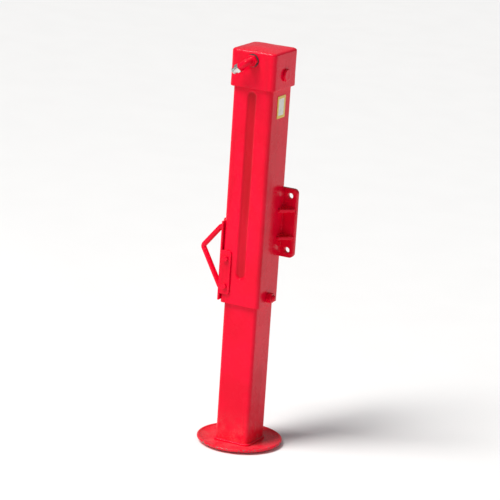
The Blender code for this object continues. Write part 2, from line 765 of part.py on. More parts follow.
def build_plunger():
    piston = STAGE_INNER - PISTON_CLEARANCE
    groove_low, groove_high = guide_groove(PLUNGER_TOP)
    groove = piston - GUIDE_RING_DEPTH
    bottom = SEAT_TOP + GAP
    thread = SEAT_BOLT_RADIUS + GAP
    make_turned("plunger", [
        (0.0, PLUNGER_TOP),
        (piston, PLUNGER_TOP),
        (piston, groove_high),
        (groove, groove_high),
        (groove, groove_low),
        (piston, groove_low),
        (piston, PLUNGER_TOP - PISTON_LENGTH),
        (PLUNGER_RADIUS, PLUNGER_TOP - PISTON_LENGTH),
        (PLUNGER_RADIUS, bottom + 0.001),
        (PLUNGER_RADIUS - 0.001, bottom),
        (thread, bottom),
        (thread, bottom + SEAT_BOLT_REACH + 0.004),
        (0.0, bottom + SEAT_BOLT_REACH + 0.007),
    ], CHROME)
    low = groove_low + GAP
    high = groove_high - GAP
    make_ring("plunger_guide_ring", groove + GAP, STAGE_INNER - GAP, low, high, NYLON)


# ---- leg

def build_leg():
    bm = bmesh.new()
    add_square_bar(bm, INNER_HALF, INNER_CORNER, FOOT_PLATE + GAP, INNER_TOP)
    tube = make("inner_tube", bm, RED)
    bm = bmesh.new()
    add_square_bar(bm, INNER_BORE, INNER_CORNER - INNER_WALL, FOOT_PLATE - 0.01, INNER_TOP + 0.01, 3)
    combine(tube, make_cutter("inner_tube_bore", bm))
    bm = bmesh.new()
    for k in range(LOCK_HOLES):
        z = LOCK_HOLE_FIRST + k * LOCK_HOLE_PITCH
        add_cylinder(bm, LOCK_HOLE_RADIUS, (-INNER_HALF - 0.01, 0, z), (0.01 - INNER_BORE, 0, z))
    combine(tube, make_cutter("lock_holes", bm))

    make_turned("foot_dish", [
        (0.0, FOOT_PLATE),
        (FOOT_FLAT_RADIUS - 0.004, FOOT_PLATE),
        (FOOT_FLAT_RADIUS + 0.003, FOOT_PLATE + 0.002),
        (FOOT_RADIUS - 0.0085, FOOT_HEIGHT - 0.003),
        (FOOT_RADIUS - 0.0055, FOOT_HEIGHT),
        (FOOT_RADIUS - 0.0020, FOOT_HEIGHT),
        (FOOT_RADIUS, FOOT_HEIGHT - 0.0035),
        (FOOT_RADIUS - 0.0010, FOOT_HEIGHT - 0.0075),
        (FOOT_FLAT_RADIUS + 0.006, 0.002),
        (FOOT_FLAT_RADIUS, 0.0),
        (0.0, 0.0),
    ], RED, sides=48)

    for name, side in (("upper_strip_front", 1), ("upper_strip_rear", -1)):
        faces = sorted((side * STRIP_LOW, side * STRIP_HIGH))
        low = (faces[0], -STRIP_HALF_WIDTH, UPPER_STRIP_Z[0])
        high = (faces[1], STRIP_HALF_WIDTH, UPPER_STRIP_Z[1])
        make_box(name, low, high, NYLON)


def build_seat():
    """The plate across the inner tube that the plunger pushes on, and the bolt that holds them together."""
    half = INNER_BORE - GAP
    bottom = SEAT_TOP - SEAT_THICKNESS
    bm = bmesh.new()
    add_square_bar(bm, half, INNER_CORNER - INNER_WALL + 0.001, bottom, SEAT_TOP, 3)
    seat = make("ram_seat", bm, STEEL)
    bm = bmesh.new()
    add_cylinder(bm, SEAT_BOLT_RADIUS + 0.0005, (0, 0, bottom - 0.01), (0, 0, SEAT_TOP + 0.01))
    combine(seat, make_cutter("seat_hole", bm))
    washer_top = bottom - GAP
    washer_bottom = washer_top - SEAT_WASHER_THICKNESS
    washer_bore = SEAT_BOLT_RADIUS + GAP
    make_ring("seat_washer", washer_bore, SEAT_WASHER_RADIUS, washer_bottom, washer_top, ZINC)
    head_top = washer_bottom - GAP
    bm = bmesh.new()
    add_cylinder(bm, SEAT_BOLT_HEAD, (0, 0, head_top - SEAT_BOLT_HEAD_LENGTH), (0, 0, head_top), 6)
    bolt = make("seat_bolt", bm, ZINC)
    bm = bmesh.new()
    add_cylinder(bm, SEAT_BOLT_RADIUS, (0, 0, head_top - 0.003), (0, 0, SEAT_TOP + SEAT_BOLT_REACH))
    combine(bolt, make_cutter("seat_bolt_shank", bm), "UNION")


# ---- latch

def build_latch_bracket():
    face = TUBE_HALF + GAP
    bm = bmesh.new()
    low, high = BRACKET_Z
    add_box(bm, (-BRACKET_FACE, -BRACKET_FACE, low), (-face, BRACKET_REAR_EDGE, high))
    bracket = make("latch_bracket", bm, RED)
    bm = bmesh.new()
    low, high = BRACKET_SIDE_Z
    verts = add_box(bm, (-BRACKET_FACE, -BRACKET_FACE, low), (BRACKET_SIDE_EDGE, -face, high))
    bevel_edges_along(bm, verts, 1, 0.006, 3)
    combine(bracket, make_cutter("bracket_side", bm), "UNION")
    bm = bmesh.new()
    upper = LATCH_Z + LATCH_RISE
    outside = -BRACKET_FACE - 0.01
    inside = -face + 0.01
    add_cylinder(bm, LATCH_BAR_HOLE, (outside, 0, LATCH_Z), (inside, 0, LATCH_Z))
    add_cylinder(bm, COLLAR_HOLE_RADIUS, (outside, 0, upper), (inside, 0, upper))
    x = BRACKET_BOLT_X
    for z in BRACKET_BOLT_Z:
        add_cylinder(bm, BRACKET_BOLT_HOLE, (x, outside, z), (x, inside, z), 20)
    combine(bracket, make_cutter("bracket_holes", bm))

    head = -BRACKET_FACE - GAP
    end = -TUBE_INSIDE - GAP
    for z, level_name in zip(BRACKET_BOLT_Z, ("lower", "upper")):
        bm = bmesh.new()
        add_cylinder(bm, BRACKET_BOLT_HEAD, (x, head, z), (x, head - BRACKET_BOLT_HEAD_LENGTH, z), 6)
        bolt = make(f"bracket_bolt_{level_name}", bm, RED)
        bm = bmesh.new()
        add_cylinder(bm, BRACKET_BOLT_RADIUS, (x, head - 0.002, z), (x, end, z), 20)
        combine(bolt, make_cutter(f"bracket_bolt_shank_{level_name}", bm), "UNION")


def build_latch_guide():
    """A bent strap that guides the handle's upper arm, and the bush that guides its locking arm."""
    near = -BRACKET_FACE - GAP
    bm = bmesh.new()
    verts = add_box(bm, (GUIDE_OUTER, -GUIDE_HALF_WIDTH, GUIDE_Z[0]), (near, GUIDE_HALF_WIDTH, GUIDE_Z[1]))
    outer_edges = [edge for edge in {edge for vert in verts for edge in vert.link_edges}
                   if all(abs(vert.co.x - GUIDE_OUTER) < 1e-6 for vert in edge.verts)
                   and abs(edge.verts[0].co.z - edge.verts[1].co.z) < 1e-6]
    bmesh.ops.bevel(bm, geom=outer_edges, offset=0.005, segments=3, profile=0.5, affect="EDGES")
    strap = make("latch_guide", bm, RED)
    bm = bmesh.new()
    add_box(bm, (GUIDE_OUTER + GUIDE_PLATE, -0.03, GUIDE_Z[0] + GUIDE_PLATE),
            (near + 0.01, 0.03, GUIDE_Z[1] - GUIDE_PLATE))
    combine(strap, make_cutter("latch_guide_inside", bm))
    bm = bmesh.new()
    upper = LATCH_Z + LATCH_RISE
    add_cylinder(bm, LATCH_BAR_HOLE, (GUIDE_OUTER - 0.01, 0, upper), (GUIDE_OUTER + 0.007, 0, upper))
    combine(strap, make_cutter("latch_guide_hole", bm))

    bush = make_ring("latch_bush", LATCH_BAR_HOLE, BUSH_RADIUS, 0.0, BUSH_LENGTH, RED)
    lay_along_x(bush, near - BUSH_LENGTH, LATCH_Z)


def build_latch_spring():
    """The spring on the handle's upper arm, squeezed while the latch is drawn."""
    start = GUIDE_OUTER + GUIDE_PLATE + GAP
    wire = SPRING_WIRE
    coil = LATCH_BAR + wire + 0.0006
    first = start + wire
    last = LATCH_TAIL - COLLAR_SETBACK - GAP - wire
    steps = 36
    points = []
    for k in range(steps + 1):
        angle = 2 * math.pi * SPRING_TURNS * k / steps
        x = first + (last - first) * k / steps
        points.append((x, coil * math.cos(angle), LATCH_Z + LATCH_RISE + coil * math.sin(angle)))
    make_wire("latch_spring", points, wire, STEEL, resolution=1)


def build_latch_handle(parent):
    """One bent bar. Its place is given from the locking arm's axis."""
    corners = [
        (LATCH_TAIL, 0.0, LATCH_RISE),
        (HANDLE_SHOULDER, 0.0, LATCH_RISE),
        (HANDLE_APEX[0], 0.0, HANDLE_APEX[1]),
        (HANDLE_HEEL, 0.0, 0.0),
        (LATCH_TIP, 0.0, 0.0),
    ]
    path = rounded_path(corners, LATCH_BEND)
    path.insert(-1, Vector((LATCH_TIP - 0.0015, 0.0, 0.0)))
    make_wire("latch_handle", path, LATCH_BAR, RED, parent, resolution=4, ends={len(path) - 1: 0.8})
    collar = make_ring("latch_collar", LATCH_BAR + GAP, COLLAR_RADIUS, 0.0, COLLAR_LENGTH, ZINC, parent)
    lay_along_x(collar, LATCH_TAIL - COLLAR_SETBACK, LATCH_RISE)


# ---- the whole: the leg stands on the ground, the ram's stage slides on it, and the casing on the stage

build_outer_tube()
build_top_cap()
build_top_pin()
build_split_pin()
build_mounting()
build_label()
build_lower_strips()
build_adjuster()
build_inlet()
build_ram_head()
build_barrel()
build_latch_bracket()
build_latch_guide()
build_latch_spring()

casing_pieces = list(PARTS.objects) + list(CUTTERS.objects)
casing_axis = make_empty("casing_axis", (0.0, 0.0, 0.0))
for thing in casing_pieces:
    thing.parent = casing_axis

stage_axis = make_empty("stage_axis", (0.0, 0.0, 0.0))
build_stage(stage_axis)

build_plunger()
build_leg()
build_seat()

latch_axis = make_empty("latch_axis", (0.0, 0.0, LATCH_Z))
build_latch_handle(latch_axis)
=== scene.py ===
"""Looks of the hydraulic parking leg: fine meshes, materials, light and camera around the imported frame."""

import json
import math

import bmesh
import bpy
from mathutils import Matrix, Vector, noise


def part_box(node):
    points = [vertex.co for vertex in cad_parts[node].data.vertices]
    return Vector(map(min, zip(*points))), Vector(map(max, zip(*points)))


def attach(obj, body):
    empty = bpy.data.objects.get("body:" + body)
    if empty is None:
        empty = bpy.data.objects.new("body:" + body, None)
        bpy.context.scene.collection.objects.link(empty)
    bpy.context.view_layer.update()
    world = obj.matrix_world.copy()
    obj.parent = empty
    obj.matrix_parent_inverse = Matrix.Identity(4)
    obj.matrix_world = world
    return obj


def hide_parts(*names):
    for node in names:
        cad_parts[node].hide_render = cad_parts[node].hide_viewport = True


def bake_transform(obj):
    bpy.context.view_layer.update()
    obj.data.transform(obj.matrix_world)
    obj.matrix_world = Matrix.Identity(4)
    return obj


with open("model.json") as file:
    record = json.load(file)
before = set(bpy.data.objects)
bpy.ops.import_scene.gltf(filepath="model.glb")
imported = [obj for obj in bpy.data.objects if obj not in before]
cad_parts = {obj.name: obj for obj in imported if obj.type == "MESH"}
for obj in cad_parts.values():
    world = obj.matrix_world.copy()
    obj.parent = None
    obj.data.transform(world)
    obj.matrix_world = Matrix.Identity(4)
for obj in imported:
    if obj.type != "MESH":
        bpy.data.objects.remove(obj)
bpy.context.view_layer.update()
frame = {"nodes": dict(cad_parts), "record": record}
NODES = frame["nodes"]

UP = Vector((0.0, 0.0, 1.0))
TIP_RADIUS = 0.00002


# ---- materials

class Surface:
    """A Principled material and the nodes that feed it."""

    def __init__(self, name, roughness, metallic=0.0):
        self.material = bpy.data.materials.new(name)
        self.material.use_nodes = True
        self.tree = self.material.node_tree
        self.shader = self.tree.nodes["Principled BSDF"]
        self.shader.inputs["Roughness"].default_value = roughness
        self.shader.inputs["Metallic"].default_value = metallic
        self.place = self.node("ShaderNodeTexCoord").outputs["Object"]

    def node(self, kind, **settings):
        made = self.tree.nodes.new(kind)
        for key, value in settings.items():
            setattr(made, key, value)
        return made

    def put(self, socket, value):
        """Links an output, or sets a plain value."""
        if isinstance(value, bpy.types.NodeSocket):
            self.tree.links.new(value, socket)
        else:
            socket.default_value = value

    def maths(self, operation, first, second=0.0, third=0.0, clamp=False):
        made = self.node("ShaderNodeMath", operation=operation, use_clamp=clamp)
        for socket, value in zip(made.inputs, (first, second, third)):
            self.put(socket, value)
        return made.outputs[0]

    def noise(self, scale, detail=3.0, stretch=(1, 1, 1), rough=0.5):
        place = self.place
        if tuple(stretch) != (1, 1, 1):
            mapping = self.node("ShaderNodeMapping")
            self.put(mapping.inputs["Vector"], place)
            mapping.inputs["Scale"].default_value = stretch
            place = mapping.outputs["Vector"]
        made = self.node("ShaderNodeTexNoise")
        self.put(made.inputs["Vector"], place)
        made.inputs["Scale"].default_value = scale
        made.inputs["Detail"].default_value = detail
        made.inputs["Roughness"].default_value = rough
        return made.outputs["Fac"]

    def band(self, value, low, high, out_low=0.0, out_high=1.0):
        """Maps low..high smoothly to out_low..out_high."""
        made = self.node("ShaderNodeMapRange", interpolation_type="SMOOTHSTEP", clamp=True)
        for key, number in (("Value", value), ("From Min", low), ("From Max", high),
                            ("To Min", out_low), ("To Max", out_high)):
            self.put(made.inputs[key], number)
        return made.outputs["Result"]

    def mix(self, factor, first, second):
        made = self.node("ShaderNodeMix", data_type="RGBA")
        self.put(made.inputs["Factor"], factor)
        for key, colour in (("A", first), ("B", second)):
            socket = [s for s in made.inputs if s.name == key and s.type == "RGBA"][0]
            self.put(socket, colour if isinstance(colour, bpy.types.NodeSocket) else (*colour, 1.0))
        return [s for s in made.outputs if s.type == "RGBA"][0]

    def height_axis(self, axis="Z"):
        split = self.node("ShaderNodeSeparateXYZ")
        self.put(split.inputs[0], self.place)
        return split.outputs[axis]

    def upward(self):
        """1 on faces that look straight up, 0 on walls."""
        split = self.node("ShaderNodeSeparateXYZ")
        self.put(split.inputs[0], self.node("ShaderNodeNewGeometry").outputs["Normal"])
        return self.maths("MAXIMUM", split.outputs["Z"], 0.0)

    def edges(self, radius):
        """1 along sharp edges, 0 on open faces."""
        soft = self.node("ShaderNodeBevel", samples=4)
        soft.inputs["Radius"].default_value = radius
        dot = self.node("ShaderNodeVectorMath", operation="DOT_PRODUCT")
        self.put(dot.inputs[0], soft.outputs["Normal"])
        self.put(dot.inputs[1], self.node("ShaderNodeNewGeometry").outputs["Normal"])
        return self.band(dot.outputs["Value"], 0.995, 0.93)

    def bump(self, *layers):
        """Each layer is (height, strength, distance in metres)."""
        normal = None
        for height, strength, distance in layers:
            made = self.node("ShaderNodeBump")
            made.inputs["Strength"].default_value = strength
            made.inputs["Distance"].default_value = distance
            self.put(made.inputs["Height"], height)
            if normal is not None:
                self.put(made.inputs["Normal"], normal)
            normal = made.outputs["Normal"]
        self.put(self.shader.inputs["Normal"], normal)

    def colour(self, value):
        self.put(self.shader.inputs["Base Color"], value)

    def roughness(self, value):
        self.put(self.shader.inputs["Roughness"], value)


RED_BRIGHT = (0.90, 0.0015, 0.034)
RED_DEEP = (0.76, 0.0012, 0.022)
# the darker red below colours grime streaks and rub marks, and is also the painted shade in the casing's
# pressed bead
RED_GRIME_AND_SHADE = (0.42, 0.003, 0.008)
DUST = (0.42, 0.36, 0.30)
PRIMER = (0.16, 0.13, 0.12)


def red_paint(name, dust_height=0.0, sliding=False, groove=False, wear=0.35, rim=0.0):
    """Sprayed gloss enamel: slight orange peel, cloudy colour, dust on ledges, small chips on edges, and
    painted shade in a recess.

    dust_height is how far up splashes reach, rim is the radius where a foot's paint is knocked off, wear
    scales the chips, and groove lays painted shade on what the mesh attribute of that name marks.
    """
    s = Surface(name, 0.24)
    s.shader.inputs["Coat Weight"].default_value = 0.14
    s.shader.inputs["Coat Roughness"].default_value = 0.05
    s.shader.inputs["Specular IOR Level"].default_value = 0.12
    s.shader.inputs["Specular Tint"].default_value = (1.0, 0.55, 0.60, 1.0)
    clouds = s.noise(9.0, 4.0)
    colour = s.mix(s.band(clouds, 0.30, 0.72), RED_DEEP, RED_BRIGHT)
    rough = s.band(s.noise(30.0, 5.0), 0.30, 0.75, 0.17, 0.33)
    runs = s.band(s.noise(34.0, 5.0, (1, 1, 0.07)), 0.50, 0.70, 0.0, 0.30)
    grime = s.maths("MULTIPLY", runs, s.band(s.noise(5.0, 3.0), 0.40, 0.62))
    colour = s.mix(grime, colour, RED_GRIME_AND_SHADE)
    rough = s.maths("ADD", rough, s.maths("MULTIPLY", grime, 0.35))

    if groove:
        # painted shade: the recessed bead is darkened and dulled where the mesh attribute marks it, mottled
        # by noise
        depth = s.node("ShaderNodeAttribute", attribute_name="groove").outputs["Fac"]
        mottle = s.band(s.noise(14.0, 5.0, (1, 1, 0.35)), 0.25, 0.75, 0.55, 0.95)
        groove_shade = s.maths("MULTIPLY", depth, mottle)
        colour = s.mix(groove_shade, colour, RED_GRIME_AND_SHADE)
        rough = s.maths("ADD", rough, s.maths("MULTIPLY", groove_shade, 0.18))

    if sliding:
        streaks = s.band(s.noise(260.0, 3.0, (1, 1, 0.012)), 0.62, 0.74)
        patch = s.band(s.noise(7.0, 3.0, (1, 1, 0.4)), 0.45, 0.65)
        rubbed = s.maths("MULTIPLY", s.maths("MULTIPLY", streaks, patch), 0.35)
        colour = s.mix(rubbed, colour, RED_GRIME_AND_SHADE)
        rough = s.maths("ADD", rough, s.maths("MULTIPLY", patch, 0.06))

    ledge = s.band(s.upward(), 0.55, 0.98, 0.0, 0.13)
    speckle = s.band(s.noise(240.0, 6.0, rough=0.75), 0.42, 0.66)
    dusty = s.maths("MULTIPLY", ledge, speckle)
    if dust_height:
        low = s.band(s.height_axis(), dust_height, 0.0, 0.0, 0.30)
        splash = s.maths("MULTIPLY", s.band(s.noise(48.0, 5.0), 0.30, 0.75),
                         s.band(s.noise(520.0, 4.0), 0.40, 0.62))
        dusty = s.maths("MAXIMUM", dusty, s.maths("MULTIPLY", low, splash))
    colour = s.mix(dusty, colour, DUST)
    rough = s.maths("ADD", rough, s.maths("MULTIPLY", dusty, 0.7), clamp=True)

    if wear:
        flakes = s.band(s.noise(190.0, 5.0, rough=0.62), 0.57, 0.60)
        chipped = s.maths("MULTIPLY", s.maths("MULTIPLY", s.edges(0.0016), flakes), wear)
        colour = s.mix(chipped, colour, PRIMER)
        rough = s.maths("ADD", rough, s.maths("MULTIPLY", chipped, 0.35), clamp=True)

    if rim:
        split = s.node("ShaderNodeSeparateXYZ")
        s.put(split.inputs[0], s.place)
        squared = s.maths("MULTIPLY_ADD", split.outputs["X"], split.outputs["X"],
                         s.maths("MULTIPLY", split.outputs["Y"], split.outputs["Y"]))
        outer = s.band(s.maths("SQRT", squared), rim - 0.0035, rim)
        knocked = s.maths("MULTIPLY", outer, s.band(s.noise(150.0, 4.0), 0.56, 0.60, 0.0, 0.75))
        sole = s.maths("MULTIPLY", s.band(s.height_axis(), 0.0016, 0.0002),
                       s.band(s.noise(90.0, 5.0), 0.40, 0.50))
        bare = s.maths("MAXIMUM", knocked, sole)
        colour = s.mix(bare, colour, PRIMER)
        rough = s.maths("ADD", rough, s.maths("MULTIPLY", bare, 0.3), clamp=True)
    s.colour(colour)
    s.roughness(rough)
    s.bump((s.noise(420.0, 2.0), 0.16, 0.00035), (s.noise(38.0, 3.0), 0.22, 0.0010))
    return s.material


def zinc_plate():
    s = Surface("zinc_plate", 0.30, 1.0)
    clouds = s.noise(160.0, 4.0)
    s.colour(s.mix(s.band(clouds, 0.3, 0.7), (0.58, 0.57, 0.53), (0.78, 0.77, 0.73)))
    s.roughness(s.band(s.noise(300.0, 5.0), 0.3, 0.7, 0.22, 0.42))
    s.bump((s.noise(900.0, 3.0), 0.12, 0.0002))
    return s.material


def hard_chrome():
    s = Surface("hard_chrome", 0.08, 1.0)
    rings = s.noise(500.0, 2.0, (0.04, 0.04, 1.0))
    s.colour(s.mix(rings, (0.74, 0.75, 0.77), (0.84, 0.85, 0.86)))
    s.roughness(s.band(rings, 0.3, 0.7, 0.05, 0.13))
    s.bump((rings, 0.05, 0.0001))
    return s.material


def turned_steel():
    s = Surface("turned_steel", 0.38, 1.0)
    rings = s.noise(900.0, 2.0, (0.03, 0.03, 1.0))
    mottle = s.noise(24.0, 5.0)
    s.colour(s.mix(s.band(mottle, 0.35, 0.7), (0.40, 0.40, 0.41), (0.27, 0.26, 0.25)))
    s.roughness(s.band(mottle, 0.3, 0.7, 0.28, 0.48))
    s.bump((rings, 0.25, 0.0002))
    return s.material


def spring_wire():
    s = Surface("spring_wire", 0.34, 1.0)
    s.colour(s.mix(s.noise(220.0, 4.0), (0.14, 0.14, 0.15), (0.30, 0.30, 0.31)))
    s.roughness(s.band(s.noise(420.0, 4.0), 0.3, 0.7, 0.26, 0.46))
    s.bump((s.noise(1500.0, 2.0), 0.1, 0.0001))
    return s.material


def nylon():
    s = Surface("cast_nylon", 0.48)
    s.shader.inputs["Subsurface Weight"].default_value = 0.15
    s.shader.inputs["Subsurface Radius"].default_value = (0.004, 0.003, 0.002)
    s.colour(s.mix(s.noise(80.0, 4.0), (0.78, 0.75, 0.66), (0.68, 0.63, 0.52)))
    s.roughness(s.band(s.noise(260.0, 4.0), 0.3, 0.7, 0.38, 0.60))
    s.bump((s.noise(700.0, 3.0), 0.15, 0.0002))
    return s.material


def rubber():
    s = Surface("nitrile_rubber", 0.6)
    s.colour(s.mix(s.noise(140.0, 4.0), (0.016, 0.016, 0.017), (0.045, 0.044, 0.042)))
    s.roughness(s.band(s.noise(300.0, 4.0), 0.3, 0.7, 0.48, 0.72))
    s.bump((s.noise(900.0, 3.0), 0.2, 0.0002))
    return s.material


def vinyl(name, first, second):
    """Blank sticker film: faint mottling and a slightly crazed, weathered gloss."""
    s = Surface(name, 0.35)
    s.shader.inputs["Coat Weight"].default_value = 0.3
    s.shader.inputs["Coat Roughness"].default_value = 0.15
    stain = s.band(s.noise(90.0, 6.0, rough=0.65), 0.35, 0.75)
    s.colour(s.mix(stain, first, second))
    s.roughness(s.band(s.noise(200.0, 4.0), 0.3, 0.7, 0.28, 0.50))
    s.bump((s.noise(260.0, 3.0), 0.12, 0.0003))
    return s.material


PAINT = red_paint("red_paint")
PAINT_CASING = red_paint("red_paint_casing", groove=True)
PAINT_INNER = red_paint("red_paint_inner", dust_height=0.11, sliding=True)
PAINT_FOOT = red_paint("red_paint_foot", dust_height=0.045, wear=0.8, rim=0.1095)
PAINT_WELD = red_paint("red_paint_weld", wear=0.0)
ZINC = zinc_plate()
CHROME = hard_chrome()
STEEL = turned_steel()
SPRING = spring_wire()
NYLON = nylon()
RUBBER = rubber()
YELLOW = vinyl("label_yellow", (0.86, 0.60, 0.05), (0.72, 0.50, 0.08))
WHITE = vinyl("label_white", (0.84, 0.84, 0.78), (0.70, 0.69, 0.60))

SLOT_MATERIALS = {
    "red_paint": PAINT,
    "zinc_plate": ZINC,
    "hard_chrome": CHROME,
    "bare_steel": STEEL,
    "spring_steel": SPRING,
    "nylon": NYLON,
    "seal_rubber": RUBBER,
    "label_yellow": YELLOW,
}
SLOT_OF = {part["node"]: part["material_slot"] for part in frame["record"]["subparts"]}


# ---- mesh building

def piece(name, verts, faces, material, sharp=32.0):
    """A mesh object in the row frame."""
    mesh = bpy.data.meshes.new(name)
    mesh.from_pydata([tuple(v) for v in verts], [], faces)
    mesh.validate()
    bm = bmesh.new()
    bm.from_mesh(mesh)
    bmesh.ops.recalc_face_normals(bm, faces=bm.faces)
    bm.to_mesh(mesh)
    bm.free()
    mesh.shade_smooth()
    mesh.set_sharp_from_angle(angle=math.radians(sharp))
    mesh.materials.append(material)
    made = bpy.data.objects.new(name, mesh)
    bpy.context.scene.collection.objects.link(made)
    return made


def settle(made, body, slot, *nodes):
    """Attaches a piece to the body it rides on and hides the CAD nodes it stands for. The slot argument, what
    it is made of, is not used.
    """
    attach(made, body)
    if nodes:
        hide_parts(*nodes)
    return made


def skin(rings, close_ends=True, loop=False):
    """Faces between rings of equal length. loop joins the last ring to the first."""
    count = len(rings[0])
    verts = [point for ring in rings for point in ring]
    faces = []
    pairs = list(zip(range(len(rings)), range(1, len(rings))))
    if loop:
        pairs.append((len(rings) - 1, 0))
    for low, high in pairs:
        for k in range(count):
            after = (k + 1) % count
            faces.append((low * count + k, low * count + after, high * count + after, high * count + k))
    if close_ends and not loop:
        faces.append(tuple(reversed(range(count))))
        faces.append(tuple(range((len(rings) - 1) * count, len(rings) * count)))
    return verts, faces


def turned(name, profile, material, place=None, sides=96, closed=False, sharp=32.0, wobble=None):
    """A piece turned about Z, from (radius, height) points. A closed profile makes a ring."""
    rings = []
    for radius, height in profile:
        ring = []
        for k in range(sides):
            angle = 2 * math.pi * k / sides
            r = max(radius, 0.00001)
            point = Vector((r * math.cos(angle), r * math.sin(angle), height))
            if wobble:
                point = wobble(point, radius, angle)
            ring.append(point)
        rings.append(ring)
    verts, faces = skin(rings, close_ends=not closed, loop=closed)
    if place is not None:
        verts = [place @ v for v in verts]
    return piece(name, verts, faces, material, sharp)


def along(start, direction):
    """The matrix that lays a piece made about Z along a direction from start."""
    turn = Vector(direction).to_track_quat("Z", "Y").to_matrix().to_4x4()
    return Matrix.Translation(Vector(start)) @ turn


def rounded(profile_corners, radius, steps=4):
    """Rounds the inner corners of an open (radius, height) profile."""
    points = [Vector(p) for p in profile_corners]
    result = [tuple(points[0])]
    for before, corner, after in zip(points, points[1:], points[2:]):
        a = before - corner
        b = after - corner
        reach = min(radius, a.length * 0.45, b.length * 0.45)
        first = corner + a.normalized() * reach
        last = corner + b.normalized() * reach
        for k in range(steps + 1):
            t = k / steps
            result.append(tuple(first.lerp(corner, t).lerp(corner.lerp(last, t), t)))
    result.append(tuple(points[-1]))
    return result


def hexagon(name, flats, thickness, material, place, bore=0.0, both_ends=True, sides=96):
    """A hexagon nut or bolt head with chamfered corners, from z=0 to z=thickness before it is placed."""
    face = flats / 2
    flat_radius = face * 0.965
    slope = math.tan(math.radians(30))
    bottom = []
    low = []
    high = []
    top = []
    for k in range(sides):
        angle = 2 * math.pi * k / sides
        from_middle = (angle % (math.pi / 3)) - math.pi / 6
        reach = face / math.cos(from_middle)
        drop = slope * (reach - flat_radius)
        turn = Vector((math.cos(angle), math.sin(angle), 0.0))
        bottom.append(turn * (flat_radius if both_ends else reach))
        low.append(turn * reach + UP * (drop if both_ends else 0.00002))
        high.append(turn * reach + UP * (thickness - drop))
        top.append(turn * flat_radius + UP * thickness)
    rings = [bottom, low, high, top]
    if bore:
        lead = 0.0012
        for radius, height in ((bore + lead, thickness), (bore, thickness - lead),
                               (bore, lead), (bore + lead, 0.0)):
            rings.append([Vector((math.cos(a), math.sin(a), 0.0)) * radius + UP * height
                          for a in (2 * math.pi * k / sides for k in range(sides))])
        verts, faces = skin(rings, loop=True)
    else:
        verts, faces = skin(rings)
    return piece(name, [place @ v for v in verts], faces, material, 24.0)


def threaded(name, radius, pitch, length, material, place, chamfer=0.0012, sides=48):
    """A rod with a helical thread from z=0 to z=length before it is placed, closed at both ends."""
    depth = 0.55 * pitch
    steps = int(length / pitch * 8)

    def tip(height):
        """The middle of an end face: a ring too small to see, with its points apart."""
        return [Vector((math.cos(k), math.sin(k), 0.0)) * TIP_RADIUS + UP * height for k in range(sides)]

    rings = [tip(0.0)]
    for j in range(steps + 1):
        z = length * j / steps
        taper = min(1.0, min(z, length - z) / chamfer)
        ring = []
        for k in range(sides):
            phase = (z / pitch - k / sides) % 1.0
            crest = min(1.0, abs(2 * phase - 1) * 1.15)
            r = min(radius - depth * crest, radius - chamfer * (1 - taper) * 0.9)
            angle = 2 * math.pi * k / sides
            ring.append(Vector((r * math.cos(angle), r * math.sin(angle), z)))
        rings.append(ring)
    rings.append(tip(length))
    verts, faces = skin(rings)
    return piece(name, [place @ v for v in verts], faces, material, 50.0)


def sweep(path, radius, sides=16, closed=False, shape=None):
    """Rings along a path. shape(distance, angle) scales the radius at a point of the surface."""
    path = [Vector(p) for p in path]
    count = len(path)
    tangents = []
    for k in range(count):
        before = path[k - 1] if closed or k else path[k]
        after = path[(k + 1) % count] if closed or k < count - 1 else path[k]
        tangents.append((after - before).normalized())
    side = tangents[0].orthogonal().normalized()
    rings = []
    distance = 0.0
    for k, (point, tangent) in enumerate(zip(path, tangents)):
        if k:
            distance += (point - path[k - 1]).length
        side = (side - tangent * side.dot(tangent)).normalized()
        other = tangent.cross(side)
        ring = []
        for j in range(sides):
            angle = 2 * math.pi * j / sides
            size = radius * (shape(distance, angle) if shape else 1.0)
            ring.append(point + (side * math.cos(angle) + other * math.sin(angle)) * size)
        rings.append(ring)
    return rings


def round_path(corners, radius, steps=10):
    """A path through corners with every inner corner rounded by an arc."""
    points = [Vector(c) for c in corners]
    path = [points[0]]
    for before, corner, after in zip(points, points[1:], points[2:]):
        inward = (before - corner).normalized()
        outward = (after - corner).normalized()
        half = inward.angle(outward) / 2
        centre = corner + (inward + outward).normalized() * radius / math.sin(half)
        first = corner + inward * (radius / math.tan(half)) - centre
        last = corner + outward * (radius / math.tan(half)) - centre
        span = first.angle(last)
        for k in range(steps + 1):
            a = span * k / steps
            path.append(centre + (first * math.sin(span - a) + last * math.sin(a)) / math.sin(span))
    path.append(points[-1])
    return path


def even_path(path, spacing, closed=False):
    """The same path with points an even distance apart."""
    points = [Vector(p) for p in path]
    if closed:
        points.append(points[0])
    total = sum((b - a).length for a, b in zip(points, points[1:]))
    count = max(2, int(total / spacing))
    result = []
    walked = 0.0
    k = 0
    for step in range(count + (0 if closed else 1)):
        wanted = total * step / count
        while k < len(points) - 2 and walked + (points[k + 1] - points[k]).length < wanted:
            walked += (points[k + 1] - points[k]).length
            k += 1
        run = points[k + 1] - points[k]
        result.append(points[k] + run * min(1.0, (wanted - walked) / max(run.length, 1e-9)))
    return result


def square_ring(half, corner, height, corner_steps=8, flat_steps=8):
    """Points round a square with rounded corners, evenly dense on its flats and corners."""
    ring = []
    for quarter in range(4):
        turn = Matrix.Rotation(quarter * math.pi / 2, 3, "Z")
        middle = Vector((half - corner, half - corner, 0.0))
        for k in range(corner_steps + 1):
            angle = k / corner_steps * math.pi / 2
            arc = Vector((math.cos(angle), math.sin(angle), 0.0)) * corner
            ring.append(turn @ (middle + arc) + UP * height)
        reach = half - corner
        for k in range(1, flat_steps):
            ring.append(turn @ Vector((reach - 2 * reach * k / flat_steps, half, 0.0)) + UP * height)
    return ring


